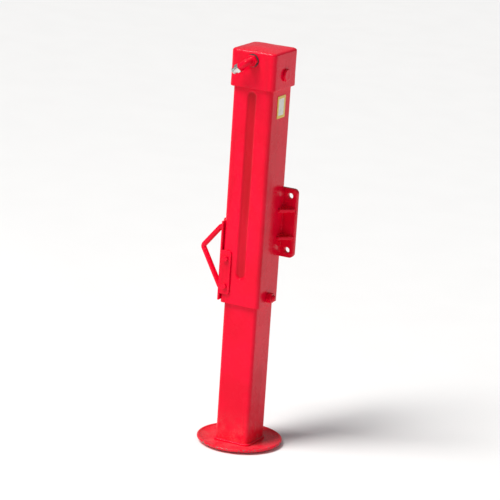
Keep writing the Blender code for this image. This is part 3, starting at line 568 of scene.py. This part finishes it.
def drill(made, bores, rim=0.0005):
    """Cuts round holes, given as (start, end, radius), through a piece and softens their rims."""
    bm = bmesh.new()
    for start, end, radius in bores:
        start = Vector(start)
        end = Vector(end)
        place = along((start + end) / 2, end - start)
        bmesh.ops.create_cone(bm, cap_ends=True, segments=64, radius1=radius, radius2=radius,
                              depth=(end - start).length, matrix=place)
    mesh = bpy.data.meshes.new("bores")
    bm.to_mesh(mesh)
    bm.free()
    cutter = bpy.data.objects.new("bores", mesh)
    bpy.context.scene.collection.objects.link(cutter)
    cut = made.modifiers.new("holes", "BOOLEAN")
    cut.operation = "DIFFERENCE"
    cut.solver = "EXACT"
    cut.object = cutter
    soft = made.modifiers.new("rims", "BEVEL")
    soft.width = rim
    soft.segments = 2
    soft.limit_method = "ANGLE"
    soft.angle_limit = math.radians(60)
    dg = bpy.context.evaluated_depsgraph_get()
    mesh = bpy.data.meshes.new_from_object(made.evaluated_get(dg))
    made.modifiers.clear()
    made.data = mesh
    mesh.shade_smooth()
    mesh.set_sharp_from_angle(angle=math.radians(32))
    bpy.data.objects.remove(cutter)
    weighted = made.modifiers.new("flats", "WEIGHTED_NORMAL")
    weighted.keep_sharp = True


# ---- casing

TUBE_LOW, TUBE_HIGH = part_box("outer_tube")
TUBE_HALF = TUBE_HIGH.x
TUBE_WALL = 0.005
TUBE_CORNER = 0.010
BEAD_LOW = 0.446
BEAD_HIGH = 0.934
BEAD_HALF = 0.0085
BEAD_FLANK = 0.0060
BEAD_DEPTH = 0.0030
PIN_Z = 0.975
PORT_Z = 1.012
LATCH_Z = 0.400
ARM_Z = 0.560
ADJUSTER_Z = 0.398
BOLT_X = -0.042
BOLT_Z = (0.423, 0.495)
PIN_HOLE = 0.0115
PORT_HOLE = 0.0105
LATCH_HOLE = 0.0075
COLLAR_HOLE = 0.0122
ADJUSTER_HOLE = 0.0083
BOLT_HOLE = 0.0043
PLATE_HOLE = 0.0075
PLATE_HOLE_OFFSET = 0.071
PLATE_CORNER = 0.012
PIN_HEAD = 0.0160
PIN_RADIUS = 0.0110
SPLIT_PIN_X = -0.0705
SPLIT_PIN_WIRE = 0.0012
SPLIT_PIN_EYE = 0.0038
THREAD_RADIUS = 0.0079
ELBOW_RUN = 0.026
ELBOW_DOWN = math.radians(38)
ELBOW_RADIUS = 0.0090
PLUG_GRIP = 0.0085


def bead_amount(x, z):
    """How far into the pressed guide bead a point on a side face lies, from 0 to 1."""
    end = BEAD_HALF + BEAD_FLANK
    nearest = min(max(z, BEAD_LOW + end), BEAD_HIGH - end)
    away = math.hypot(x, z - nearest)
    t = min(1.0, max(0.0, (end - away) / BEAD_FLANK))
    return t * t * (3 - 2 * t)


def make_casing_tube():
    """The outer tube: its two side faces carry a long pressed bead with soft flanks and round ends."""
    levels = []
    z = TUBE_LOW.z
    edge = 0.0007
    soft_rows = [0.0, edge * 0.3, edge]
    low_rows = [z + r for r in soft_rows]
    bead_end = BEAD_HALF + BEAD_FLANK + 0.002
    fine = 0.0016
    for start, stop, pitch in ((z + 0.006, BEAD_LOW - 0.002, 0.010),
                               (BEAD_LOW - 0.001, BEAD_LOW + bead_end, fine),
                               (BEAD_LOW + bead_end + 0.01, BEAD_HIGH - bead_end - 0.005, 0.016),
                               (BEAD_HIGH - bead_end, BEAD_HIGH + 0.001, fine)):
        count = max(1, int((stop - start) / pitch))
        levels.extend(start + (stop - start) * k / count for k in range(count + 1))
    levels = low_rows + levels + [0.960, 0.990, TUBE_HIGH.z]
    insets = {low_rows[0]: edge, low_rows[1]: edge * 0.3}

    def ring(half, corner, height, outside):
        inset = insets.get(height, 0.0) if outside else 0.0
        points = square_ring(half - inset, corner, height, 6, 44)
        result = []
        full = BEAD_DEPTH * (1.0 if outside else 0.8)
        for p in points:
            amount = 0.0
            if abs(p.y) > half - corner * 0.5 and abs(p.x) < BEAD_HALF + BEAD_FLANK:
                amount = bead_amount(p.x, height)
            result.append(p - Vector((0.0, math.copysign(full * amount, p.y), 0.0)))
        return result

    outer = [ring(TUBE_HALF, TUBE_CORNER, height, True) for height in levels]
    inner = [ring(TUBE_HALF - TUBE_WALL, TUBE_CORNER - TUBE_WALL, height, False)
             for height in reversed(levels)]
    verts, faces = skin(outer + inner, loop=True)
    tube = piece("casing_tube", verts, faces, PAINT_CASING, 40.0)
    far = TUBE_HALF + 0.01
    near = TUBE_HALF - 0.012
    bores = [((-far, 0, PIN_Z), (far, 0, PIN_Z), PIN_HOLE),
             ((0, -far, PORT_Z), (0, -near, PORT_Z), PORT_HOLE),
             ((-far, 0, LATCH_Z), (-near, 0, LATCH_Z), LATCH_HOLE),
             ((-far, 0, ARM_Z), (-near, 0, ARM_Z), COLLAR_HOLE),
             ((near, 0, ADJUSTER_Z), (far, 0, ADJUSTER_Z), ADJUSTER_HOLE)]
    bores += [((BOLT_X, -far, z), (BOLT_X, -near, z), BOLT_HOLE) for z in BOLT_Z]
    drill(tube, bores, 0.0003)
    # the groove attribute marks the pressed bead, where the casing paint lays painted shade
    mark = tube.data.attributes.new("groove", "FLOAT", "POINT")
    for k, v in enumerate(tube.data.vertices):
        outside = abs(v.co.y) > TUBE_HALF - BEAD_DEPTH - 0.0002
        mark.data[k].value = bead_amount(v.co.x, v.co.z) if outside else 0.0
    return settle(tube, "casing", "red_paint", "outer_tube")


def make_cap():
    """The domed cover: a shell with a rolled lower edge, soft corners and a slightly uneven crown."""
    low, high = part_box("top_cap")
    half = high.x
    corner = 0.012
    sections = [(half - 0.0060, corner - 0.005, low.z + 0.0012),
                (half - 0.0048, corner - 0.004, low.z + 0.0002),
                (half - 0.0020, corner - 0.001, low.z), (half - 0.0006, corner, low.z + 0.0008),
                (half, corner, low.z + 0.0028)]
    shoulder = high.z - 0.0115
    for k in range(1, 10):
        sections.append((half - 0.0004 * math.sin(math.pi * k / 10), corner,
                         low.z + 0.0028 + (shoulder - low.z - 0.0028) * k / 10))
    roll = 0.0075
    for k in range(1, 9):
        a = k / 8 * math.radians(82)
        sections.append((half - roll * (1 - math.cos(a)), corner - 0.3 * roll * (1 - math.cos(a)),
                         shoulder + roll * math.sin(a)))
    rim_half, rim_corner, rim_z = sections[-1]
    crown = high.z - 0.0002 - rim_z
    for k in range(1, 13):
        t = k / 12
        sections.append((rim_half * (1 - t) + 0.0006, max(rim_corner * (1 - t), 0.0004),
                         rim_z + crown * (1 - (1 - t) ** 1.8)))
    rings = []
    for size, radius, height in sections:
        ring = square_ring(size, min(radius, size * 0.98), height, 8, 14)
        if height > shoulder:
            ring = [p + UP * 0.0005 * min(1.0, (height - shoulder) / 0.01)
                    * (noise.noise(p * 38.0) - 0.45) for p in ring]
        rings.append(ring)
    hollow = half - 0.0060
    ceiling = shoulder - 0.002
    inside = [square_ring(hollow, corner - 0.005, height, 8, 14) for height in (ceiling, low.z + 0.0012)]
    inside.insert(0, square_ring(0.002, 0.001, ceiling, 8, 14))
    verts, faces = skin(inside[:-1] + rings)
    cap = piece("cap_shell", verts, faces, PAINT, 38.0)
    far = half + 0.01
    drill(cap, [((-far, 0, PIN_Z), (far, 0, PIN_Z), PIN_HOLE),
                ((0, -far, PORT_Z), (0, -hollow + 0.002, PORT_Z), PORT_HOLE)])
    return settle(cap, "casing", "red_paint", "top_cap")


def make_top_pin():
    low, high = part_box("top_pin")
    middle = (low.z + high.z) / 2
    head_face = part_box("top_cap")[1].x + 0.0003
    length = head_face - low.x
    head = high.x - low.x
    profile = rounded([(0.0, head - 0.0006), (0.0105, head), (0.0148, head), (PIN_HEAD, head - 0.0014),
                       (PIN_HEAD, length), (PIN_RADIUS, length), (PIN_RADIUS, 0.0018), (0.0093, 0.0),
                       (0.0, 0.0)], 0.0009)
    pin = turned("pin_body", profile, PAINT, along((low.x, 0.0, middle), (1, 0, 0)))
    settle(pin, "casing", "red_paint", "top_pin")

    washer_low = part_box("top_pin_washer")[0]
    profile = [(0.0190, 0.0006), (0.0186, 0.0), (0.0116, 0.0), (0.0112, 0.0004), (0.0112, 0.0026),
               (0.0116, 0.0030), (0.0186, 0.0030), (0.0190, 0.0024)]
    washer = turned("pin_washer", profile, ZINC, along((washer_low.x, 0.0, middle), (1, 0, 0)), closed=True)
    settle(washer, "casing", "zinc_plate", "top_pin_washer")

    x = SPLIT_PIN_X
    wire = SPLIT_PIN_WIRE
    offset = wire + 0.0002
    eye = SPLIT_PIN_EYE
    eye_z = middle + 0.0172
    opening = math.asin(offset / eye)
    corners = [Vector((x, -0.0095, middle - 0.0175)), Vector((x, -offset, middle - 0.0122)),
               Vector((x, -offset, middle + 0.0110))]
    for k in range(25):
        a = -math.pi / 2 - opening - (2 * math.pi - 2 * opening) * k / 24
        corners.append(Vector((x, eye * math.cos(a), eye_z + eye * math.sin(a))))
    corners += [Vector((x, offset, middle + 0.0110)), Vector((x, offset, middle - 0.0122)),
                Vector((x, 0.0095, middle - 0.0175))]
    verts, faces = skin(sweep(even_path(corners, 0.0008), wire, 12))
    split = piece("split_pin_wire", verts, faces, ZINC)
    settle(split, "casing", "zinc_plate", "top_pin_split_pin")


def bead(name, path, radius, body, closed=False, seed=0):
    """A weld bead: overlapping ripples, uneven width, laid on a joint line. Ends taper."""
    line = even_path(path, 0.0007, closed)
    total = len(line) * 0.0007
    drift = Vector((seed * 3.1, seed * 1.7, 0.0))

    def ripple(distance, angle):
        wave = 0.10 * abs(math.sin(math.pi * distance / 0.0026)) - 0.05
        uneven = 0.16 * noise.noise(drift + Vector((distance * 70.0, math.cos(angle), math.sin(angle))))
        ends = 1.0 if closed else min(1.0, 0.35 + min(distance, max(0.0, total - distance)) / (2.2 * radius))
        return (1.0 + wave + uneven) * ends

    verts, faces = skin(sweep(line, radius, 12, closed, ripple), loop=closed)
    made = piece(name, verts, faces, PAINT_WELD, 70.0)
    return settle(made, body, "red_paint")


def plate(name, outlines, thickness, material, place, soften=0.0008):
    """A flat plate with rounded edges from an outline and its holes, each a list of 2D points."""
    curve = bpy.data.curves.new(name, "CURVE")
    curve.dimensions = "2D"
    curve.fill_mode = "BOTH"
    curve.extrude = thickness / 2 - soften
    curve.bevel_depth = soften
    curve.bevel_resolution = 2
    curve.offset = -soften
    for outline in outlines:
        spline = curve.splines.new("POLY")
        spline.points.add(len(outline) - 1)
        spline.use_cyclic_u = True
        for point, (x, y) in zip(spline.points, outline):
            point.co = (x, y, 0.0, 1.0)
    shape = bpy.data.objects.new(name, curve)
    bpy.context.scene.collection.objects.link(shape)
    dg = bpy.context.evaluated_depsgraph_get()
    mesh = bpy.data.meshes.new_from_object(shape.evaluated_get(dg))
    bpy.data.objects.remove(shape)
    bm = bmesh.new()
    bm.from_mesh(mesh)
    bmesh.ops.remove_doubles(bm, verts=bm.verts, dist=0.00001)
    bmesh.ops.recalc_face_normals(bm, faces=bm.faces)
    bm.to_mesh(mesh)
    bm.free()
    mesh.transform(place)
    mesh.shade_smooth()
    mesh.set_sharp_from_angle(angle=math.radians(32))
    mesh.materials.clear()
    mesh.materials.append(material)
    made = bpy.data.objects.new(name, mesh)
    bpy.context.scene.collection.objects.link(made)
    return made


def circle(x, y, radius, steps=48):
    return [(x + radius * math.cos(2 * math.pi * k / steps), y + radius * math.sin(2 * math.pi * k / steps))
            for k in range(steps)]


def rounded_box(low_x, high_x, low_y, high_y, radius, steps=8):
    """A 2D outline of a box with round corners."""
    result = []
    for cx, cy, start in ((high_x - radius, high_y - radius, 0), (low_x + radius, high_y - radius, 1),
                          (low_x + radius, low_y + radius, 2), (high_x - radius, low_y + radius, 3)):
        for k in range(steps + 1):
            a = (start + k / steps) * math.pi / 2
            result.append((cx + radius * math.cos(a), cy + radius * math.sin(a)))
    return result


FACING_Y = Matrix(((1, 0, 0, 0), (0, 0, -1, 0), (0, 1, 0, 0), (0, 0, 0, 1)))


def make_mounting():
    low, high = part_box("mounting_plate")
    middle_z = (low.z + high.z) / 2
    outlines = [rounded_box(low.x, high.x, low.z, high.z, PLATE_CORNER)]
    for x in (-PLATE_HOLE_OFFSET, PLATE_HOLE_OFFSET):
        for z in (middle_z - PLATE_HOLE_OFFSET, middle_z + PLATE_HOLE_OFFSET):
            outlines.append(circle(x, z, PLATE_HOLE))
    place = Matrix.Translation((0.0, (low.y + high.y) / 2, 0.0)) @ FACING_Y
    made = plate("drawbar_plate", outlines, high.y - low.y, PAINT, place, 0.0010)
    settle(made, "casing", "red_paint", "mounting_plate")

    for side, side_name in ((1, "front"), (-1, "rear")):
        for level in ("upper", "lower"):
            node = f"gusset_{side_name}_{level}"
            low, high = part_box(node)
            near, far = sorted((low.x, high.x), key=abs)
            outline = [(near, high.y), (near, low.y), (near + side * 0.006, low.y), (far, high.y - 0.006),
                       (far, high.y)]
            place = Matrix.Translation((0.0, 0.0, (low.z + high.z) / 2))
            made = plate(f"{node}_rib", [outline], high.z - low.z, PAINT, place)
            settle(made, "casing", "red_paint", node)
            for z in (low.z - 0.0006, high.z + 0.0006):
                end = "over" if z > low.z else "under"
                root = near + side * 0.0002
                line = round_path([(root, low.y + 0.003, z), (root, high.y - 0.001, z),
                                   (far - side * 0.003, high.y - 0.001, z)], 0.004)
                seed = hash_of(node) + (1 if end == "over" else 0)
                bead(f"{node}_weld_{end}", line, 0.0022, "casing", seed=seed)
        x = side * (TUBE_HALF - 0.0040)
        plate_low, plate_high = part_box("mounting_plate")
        bead(f"plate_weld_{side_name}", [(x, plate_low.y - 0.0030, plate_low.z + 0.004),
                                         (x, plate_low.y - 0.0030, plate_high.z - 0.004)], 0.0040, "casing",
             seed=11 + side)


def hash_of(text):
    """A small steady number for a name."""
    return sum(ord(letter) for letter in text) % 97


def make_label():
    low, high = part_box("label_plate")
    place = Matrix.Translation(((low.x + high.x) / 2, 0.0, 0.0)) @ Matrix(
        ((0, 0, 1, 0), (1, 0, 0, 0), (0, 1, 0, 0), (0, 0, 0, 1)))
    frame_out = rounded_box(low.y, high.y, low.z, high.z, 0.003)
    edge = 0.007
    window = rounded_box(low.y + edge, high.y - edge, low.z + edge, high.z - edge, 0.0015)
    border = plate("label_border", [frame_out, window], high.x - low.x, YELLOW, place, 0.00015)
    settle(border, "casing", "label_yellow", "label_plate")
    lift = Matrix.Translation((-0.00015, 0.0, 0.0)) @ place
    centre = plate("label_centre", [window], high.x - low.x - 0.0003, WHITE, lift, 0.00005)
    settle(centre, "casing", "label_yellow")


def make_adjuster():
    low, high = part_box("adjusting_screw")
    middle = (low.z + high.z) / 2
    nut_low, nut_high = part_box("adjusting_locknut")
    screw = threaded("adjuster_screw_thread", THREAD_RADIUS, 0.0020, high.x - low.x, PAINT,
                     along((low.x, 0.0, middle), (1, 0, 0)), 0.0020)
    settle(screw, "casing", "red_paint", "adjusting_screw")
    nut = hexagon("adjuster_nut", 0.0240, nut_high.x - nut_low.x, PAINT,
                  along((nut_low.x, 0.0, middle), (1, 0, 0)), bore=THREAD_RADIUS)
    settle(nut, "casing", "red_paint", "adjusting_locknut")


def make_inlet():
    """Adaptor, sealing washer, forged elbow and the plug that closes it."""
    low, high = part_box("inlet_adaptor")
    z = (low.z + high.z) / 2
    seal_low, seal_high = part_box("inlet_seal")
    hex_near = seal_low.y - 0.0003
    thickness = hex_near - low.y
    back = (0, -1, 0)
    made = hexagon("inlet_adaptor_hex", 0.0270, thickness, PAINT, along((0, hex_near, z), back))
    settle(made, "casing", "red_paint", "inlet_adaptor")
    profile = [(0.0165, 0.0002), (0.0161, 0.0), (0.0104, 0.0), (0.0100, 0.0004), (0.0100, 0.0016),
               (0.0104, 0.0020), (0.0161, 0.0020), (0.0165, 0.0018)]
    made = turned("inlet_washer", profile, RUBBER, along((0, seal_high.y, z), back), closed=True)
    settle(made, "casing", "seal_rubber", "inlet_seal")

    elbow_low, elbow_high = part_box("inlet_elbow")
    start = Vector((0.0, elbow_high.y, z))
    corner = Vector((0.0, elbow_low.y + 0.0125, z))
    run = Vector((-math.cos(ELBOW_DOWN), 0.0, -math.sin(ELBOW_DOWN)))
    outlet = corner + run * ELBOW_RUN
    path = even_path(round_path([start, corner, outlet], 0.0105, 16), 0.0006)
    total = len(path) * 0.0006

    def forged(distance, angle):
        collar = 1.18 if distance < 0.0035 or distance > total - 0.0045 else 1.0
        bulge = 0.10 * math.exp(-((distance - total * 0.42) / 0.008) ** 2)
        return collar + bulge

    verts, faces = skin(sweep(path, ELBOW_RADIUS, 32, shape=forged))
    made = piece("inlet_elbow_forging", verts, faces, PAINT, 40.0)
    settle(made, "casing", "red_paint", "inlet_elbow")

    plug_start = outlet + run * 0.0003
    made = hexagon("inlet_plug_hex", 0.0220, 0.0100, ZINC, along(plug_start, run))
    profile = [(0.0, 0.0), (0.0080, 0.0), (0.0080, 0.0022), (PLUG_GRIP, 0.0028)]
    for k in range(4):
        ridge = 0.0036 + 0.0018 * k
        profile += [(PLUG_GRIP, ridge), (0.0080, ridge + 0.0004), (0.0080, ridge + 0.0008),
                    (PLUG_GRIP, ridge + 0.0012)]
    profile += [(PLUG_GRIP, 0.0112), (0.0076, 0.0121), (0.0, 0.0122)]
    knob = turned("inlet_plug_knob", profile, ZINC, along(plug_start + run * 0.0098, run), sides=64)
    settle(made, "casing", "zinc_plate", "inlet_plug")
    settle(knob, "casing", "zinc_plate")


# ---- leg

INNER_CORNER = 0.009
INNER_WALL = 0.005
LOCK_HOLE = 0.009
LOCK_HOLE_FIRST = 0.100
LOCK_HOLE_PITCH = 0.050
LOCK_HOLES = 9


def make_inner_tube():
    """The inner tube: softened cut ends and a row of locking holes in its rear face."""
    low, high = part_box("inner_tube")
    half = high.x
    corner = INNER_CORNER
    wall = INNER_WALL
    edge = 0.0006
    rows = [(low.z, edge), (low.z + edge, 0.0), (high.z - edge, 0.0), (high.z, edge)]
    rings = [square_ring(half - inset, corner, height, 8, 2) for height, inset in rows]
    rings += [square_ring(half - wall + inset * 0.6, corner - wall, height, 8, 2)
              for height, inset in reversed(rows)]
    verts, faces = skin(rings, loop=True)
    tube = piece("leg_tube", verts, faces, PAINT_INNER, 40.0)

    heights = [LOCK_HOLE_FIRST + LOCK_HOLE_PITCH * k for k in range(LOCK_HOLES)]
    drill(tube, [((-half - 0.01, 0, z), (-half + 0.012, 0, z), LOCK_HOLE) for z in heights])
    settle(tube, "leg", "red_paint", "inner_tube")

    ring = square_ring(half + 0.0008, corner + 0.0008, low.z + 0.0014, 8, 6)
    bead("foot_weld", ring, 0.0036, "leg", closed=True, seed=5)


def make_foot():
    """A pressed dish with a rolled lip, slightly out of true as such feet are."""
    low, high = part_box("foot_dish")
    radius = high.x
    top = high.z
    plate_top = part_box("inner_tube")[0].z - 0.0003
    profile = [(0.0, plate_top), (0.050, plate_top), (0.076, plate_top), (0.084, plate_top + 0.0003),
               (0.0900, plate_top + 0.0010), (radius - 0.0125, top - 0.0048), (radius - 0.0085, top - 0.0024)]
    lip = 0.0036
    for k in range(11):
        a = math.radians(165 - k * 24)
        profile.append((radius - 0.0004 - lip + lip * math.cos(a), top - 0.0003 - lip + lip * math.sin(a)))
    profile += [(radius - 0.0050, top - 0.0088), (0.0960, 0.0034), (0.0900, 0.0014), (0.0850, 0.0002),
                (0.0800, 0.0), (0.040, 0.0), (0.0, 0.0)]

    def out_of_true(point, r, angle):
        share = max(0.0, (r - 0.086) / 0.025)
        lift = 0.0004 * (math.sin(2 * angle + 0.6) + 0.6 * math.sin(5 * angle)) - 0.0006
        return point + UP * lift * min(1.0, share)

    foot = turned("foot_pressing", profile, PAINT_FOOT, sides=160, sharp=50.0, wobble=out_of_true)
    settle(foot, "leg", "red_paint", "foot_dish")


# ---- latch

HANDLE_CORNERS = [(-0.0612, 0.0, ARM_Z), (-0.0905, 0.0, ARM_Z), (-0.1400, 0.0, 0.500),
                  (-0.0840, 0.0, LATCH_Z), (-0.0476, 0.0, LATCH_Z)]
HANDLE_BEND = 0.009
SPRING_TURNS = 2.5
BUSH_RADIUS = 0.0140
BUSH_WELD_RADIUS = 0.0145

def make_latch():
    guide_low, guide_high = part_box("latch_guide")
    bush_low, bush_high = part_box("latch_bush")
    handle_low, handle_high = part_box("latch_handle")
    spring_low, spring_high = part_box("latch_spring")
    bar = (handle_high.y - handle_low.y) / 2
    path = even_path(round_path(HANDLE_CORNERS, HANDLE_BEND, 14), 0.0009)
    total = len(path) * 0.0009

    def drawn(distance, angle):
        end = min(distance, total - distance)
        uneven = 1.0 + 0.004 * noise.noise(Vector((distance * 90, 0, 0)))
        return min(1.0, 0.80 + end / 0.0015 * 0.2) * uneven

    verts, faces = skin(sweep(path, bar, 32, shape=drawn))
    made = piece("handle_bar", verts, faces, PAINT, 45.0)
    settle(made, "latch", "red_paint", "latch_handle")

    wire = ((spring_high.z - spring_low.z) / 2 - bar - 0.0006) / 2
    coil = bar + wire + 0.0006
    first = spring_low.x + wire
    last = spring_high.x - wire
    points = []
    for k in range(181):
        a = 2 * math.pi * SPRING_TURNS * k / 180
        x = first + (last - first) * k / 180
        points.append((x, coil * math.cos(a), ARM_Z + coil * math.sin(a)))
    verts, faces = skin(sweep(points, wire, 12))
    made = piece("spring_coil", verts, faces, SPRING, 60.0)
    # the blend stretches the wire too, so it looks too thick while the latch is pushed in
    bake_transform(made)
    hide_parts("latch_spring")

    length = bush_high.x - bush_low.x
    profile = [(bar + 0.0005, 0.0006), (bar + 0.0011, 0.0), (0.0130, 0.0), (BUSH_RADIUS, 0.0010),
               (BUSH_RADIUS, length), (bar + 0.0005, length)]
    made = turned("bush_ring", profile, PAINT, along((bush_low.x, 0.0, LATCH_Z), (1, 0, 0)), closed=True)
    settle(made, "casing", "red_paint", "latch_bush")
    ring = [(bush_high.x - 0.0006, BUSH_WELD_RADIUS * math.cos(2 * math.pi * k / 60),
             LATCH_Z + BUSH_WELD_RADIUS * math.sin(2 * math.pi * k / 60)) for k in range(60)]
    bead("bush_weld", ring, 0.0019, "casing", closed=True, seed=21)

    for z, end in ((guide_low.z - 0.0004, "lower"), (guide_high.z + 0.0004, "upper")):
        bead(f"guide_weld_{end}", [(guide_high.x - 0.0006, guide_low.y + 0.003, z),
                                   (guide_high.x - 0.0006, guide_high.y - 0.003, z)], 0.0021, "casing",
             seed=31 + len(end))
    bracket_low, bracket_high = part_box("latch_bracket")
    for start, stop, end in ((0.394, 0.432, "lower"), (0.466, 0.508, "middle"), (0.540, 0.584, "upper")):
        bead(f"bracket_weld_{end}", [(-TUBE_HALF - 0.0010, bracket_high.y + 0.0006, start),
                                     (-TUBE_HALF - 0.0010, bracket_high.y + 0.0006, stop)], 0.0024, "casing",
             seed=41 + len(end))

    for name in ("bracket_bolt_lower", "bracket_bolt_upper"):
        low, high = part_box(name)
        x = (low.x + high.x) / 2
        z = (low.z + high.z) / 2
        near = bracket_low.y - 0.0003
        made = hexagon(f"{name}_head", 0.0130, near - low.y, PAINT, along((x, near, z), (0, -1, 0)),
                       both_ends=False, sides=72)
        settle(made, "casing", "red_paint", name)


def soften_cad(node, width, segments=2):
    """Rounds the cut edges of a CAD piece that is shown as it is."""
    soft = NODES[node].modifiers.new("soft_edges", "BEVEL")
    soft.width = width
    soft.segments = segments
    soft.limit_method = "ANGLE"
    soft.angle_limit = math.radians(50)
    soft.harden_normals = False


def dress_cad():
    """Every CAD piece takes its own material, seen or not."""
    for name, node in NODES.items():
        node.data.materials.clear()
        node.data.materials.append(SLOT_MATERIALS[SLOT_OF[name]])
        node.data.shade_smooth()
        node.data.set_sharp_from_angle(angle=math.radians(32))
    for name in ("latch_bracket", "latch_guide"):
        soften_cad(name, 0.0007)
    for name in ("latch_collar", "lower_strip_front", "lower_strip_left", "lower_strip_right",
                 "lower_strip_rear"):
        soften_cad(name, 0.0003)


# ---- floor, light and camera

def make_stage():
    s = Surface("studio_floor", 0.55)
    s.shader.inputs["Specular IOR Level"].default_value = 0.2
    s.colour(s.mix(s.noise(0.8, 3.0), (0.885, 0.885, 0.885), (0.90, 0.90, 0.90)))
    s.roughness(s.band(s.noise(6.0, 3.0), 0.3, 0.7, 0.58, 0.66))
    bpy.ops.mesh.primitive_plane_add(size=60.0, location=(0.0, 0.0, 0.0))
    floor = bpy.context.object
    floor.name = "studio_floor"
    floor.data.materials.append(s.material)

    world = bpy.data.worlds.new("studio")
    bpy.context.scene.world = world
    world.use_nodes = True
    background = world.node_tree.nodes["Background"]
    background.inputs["Color"].default_value = (0.95, 0.97, 1.0, 1.0)
    background.inputs["Strength"].default_value = 0.24


def add_light(name, place, target, size, power, colour=(1.0, 1.0, 1.0)):
    data = bpy.data.lights.new(name, "AREA")
    data.shape = "RECTANGLE"
    data.size = size[0]
    data.size_y = size[1]
    data.energy = power
    data.color = colour
    lamp = bpy.data.objects.new(name, data)
    lamp.location = place
    lamp.rotation_euler = (Vector(target) - Vector(place)).to_track_quat("-Z", "Y").to_euler()
    bpy.context.scene.collection.objects.link(lamp)


def make_lights():
    middle = (0.0, 0.0, 0.6)
    data = bpy.data.lights.new("sky_light", "SUN")
    data.energy = 3.1
    data.angle = math.radians(24)
    data.color = (1.0, 0.985, 0.965)
    lamp = bpy.data.objects.new("sky_light", data)
    lamp.rotation_euler = Vector((0.30, 0.42, -0.86)).to_track_quat("-Z", "Y").to_euler()
    bpy.context.scene.collection.objects.link(lamp)
    add_light("key", (-1.5, -3.0, 2.4), middle, (0.9, 0.9), 22.0, (1.0, 0.98, 0.95))
    add_light("strip", (2.4, -2.4, 1.3), middle, (0.25, 1.8), 7.0)
    add_light("edge", (-1.57, -1.0, 4.0), middle, (0.35, 0.35), 14.0)


AZIMUTH = math.radians(27.0)
ELEVATION = math.radians(15.2)
DISTANCE = 6.7
ROLL = math.radians(3.8)
FOCUS = Vector((-0.005, 0.0, 0.512))


def make_camera():
    data = bpy.data.cameras.new("camera")
    data.lens = 190.0
    data.clip_end = 200.0
    camera = bpy.data.objects.new("camera", data)
    back = Vector((math.sin(AZIMUTH) * math.cos(ELEVATION), -math.cos(AZIMUTH) * math.cos(ELEVATION),
                   math.sin(ELEVATION)))
    camera.location = FOCUS + back * DISTANCE
    aim = (-back).to_track_quat("-Z", "Y").to_matrix()
    camera.rotation_euler = (aim @ Matrix.Rotation(ROLL, 3, "Z")).to_euler()
    bpy.context.scene.collection.objects.link(camera)
    bpy.context.scene.camera = camera
    bpy.context.scene.view_settings.view_transform = "Standard"


dress_cad()
make_casing_tube()
make_cap()
make_top_pin()
make_mounting()
make_label()
make_adjuster()
make_inlet()
make_inner_tube()
make_foot()
make_latch()
make_stage()
make_lights()
make_camera()
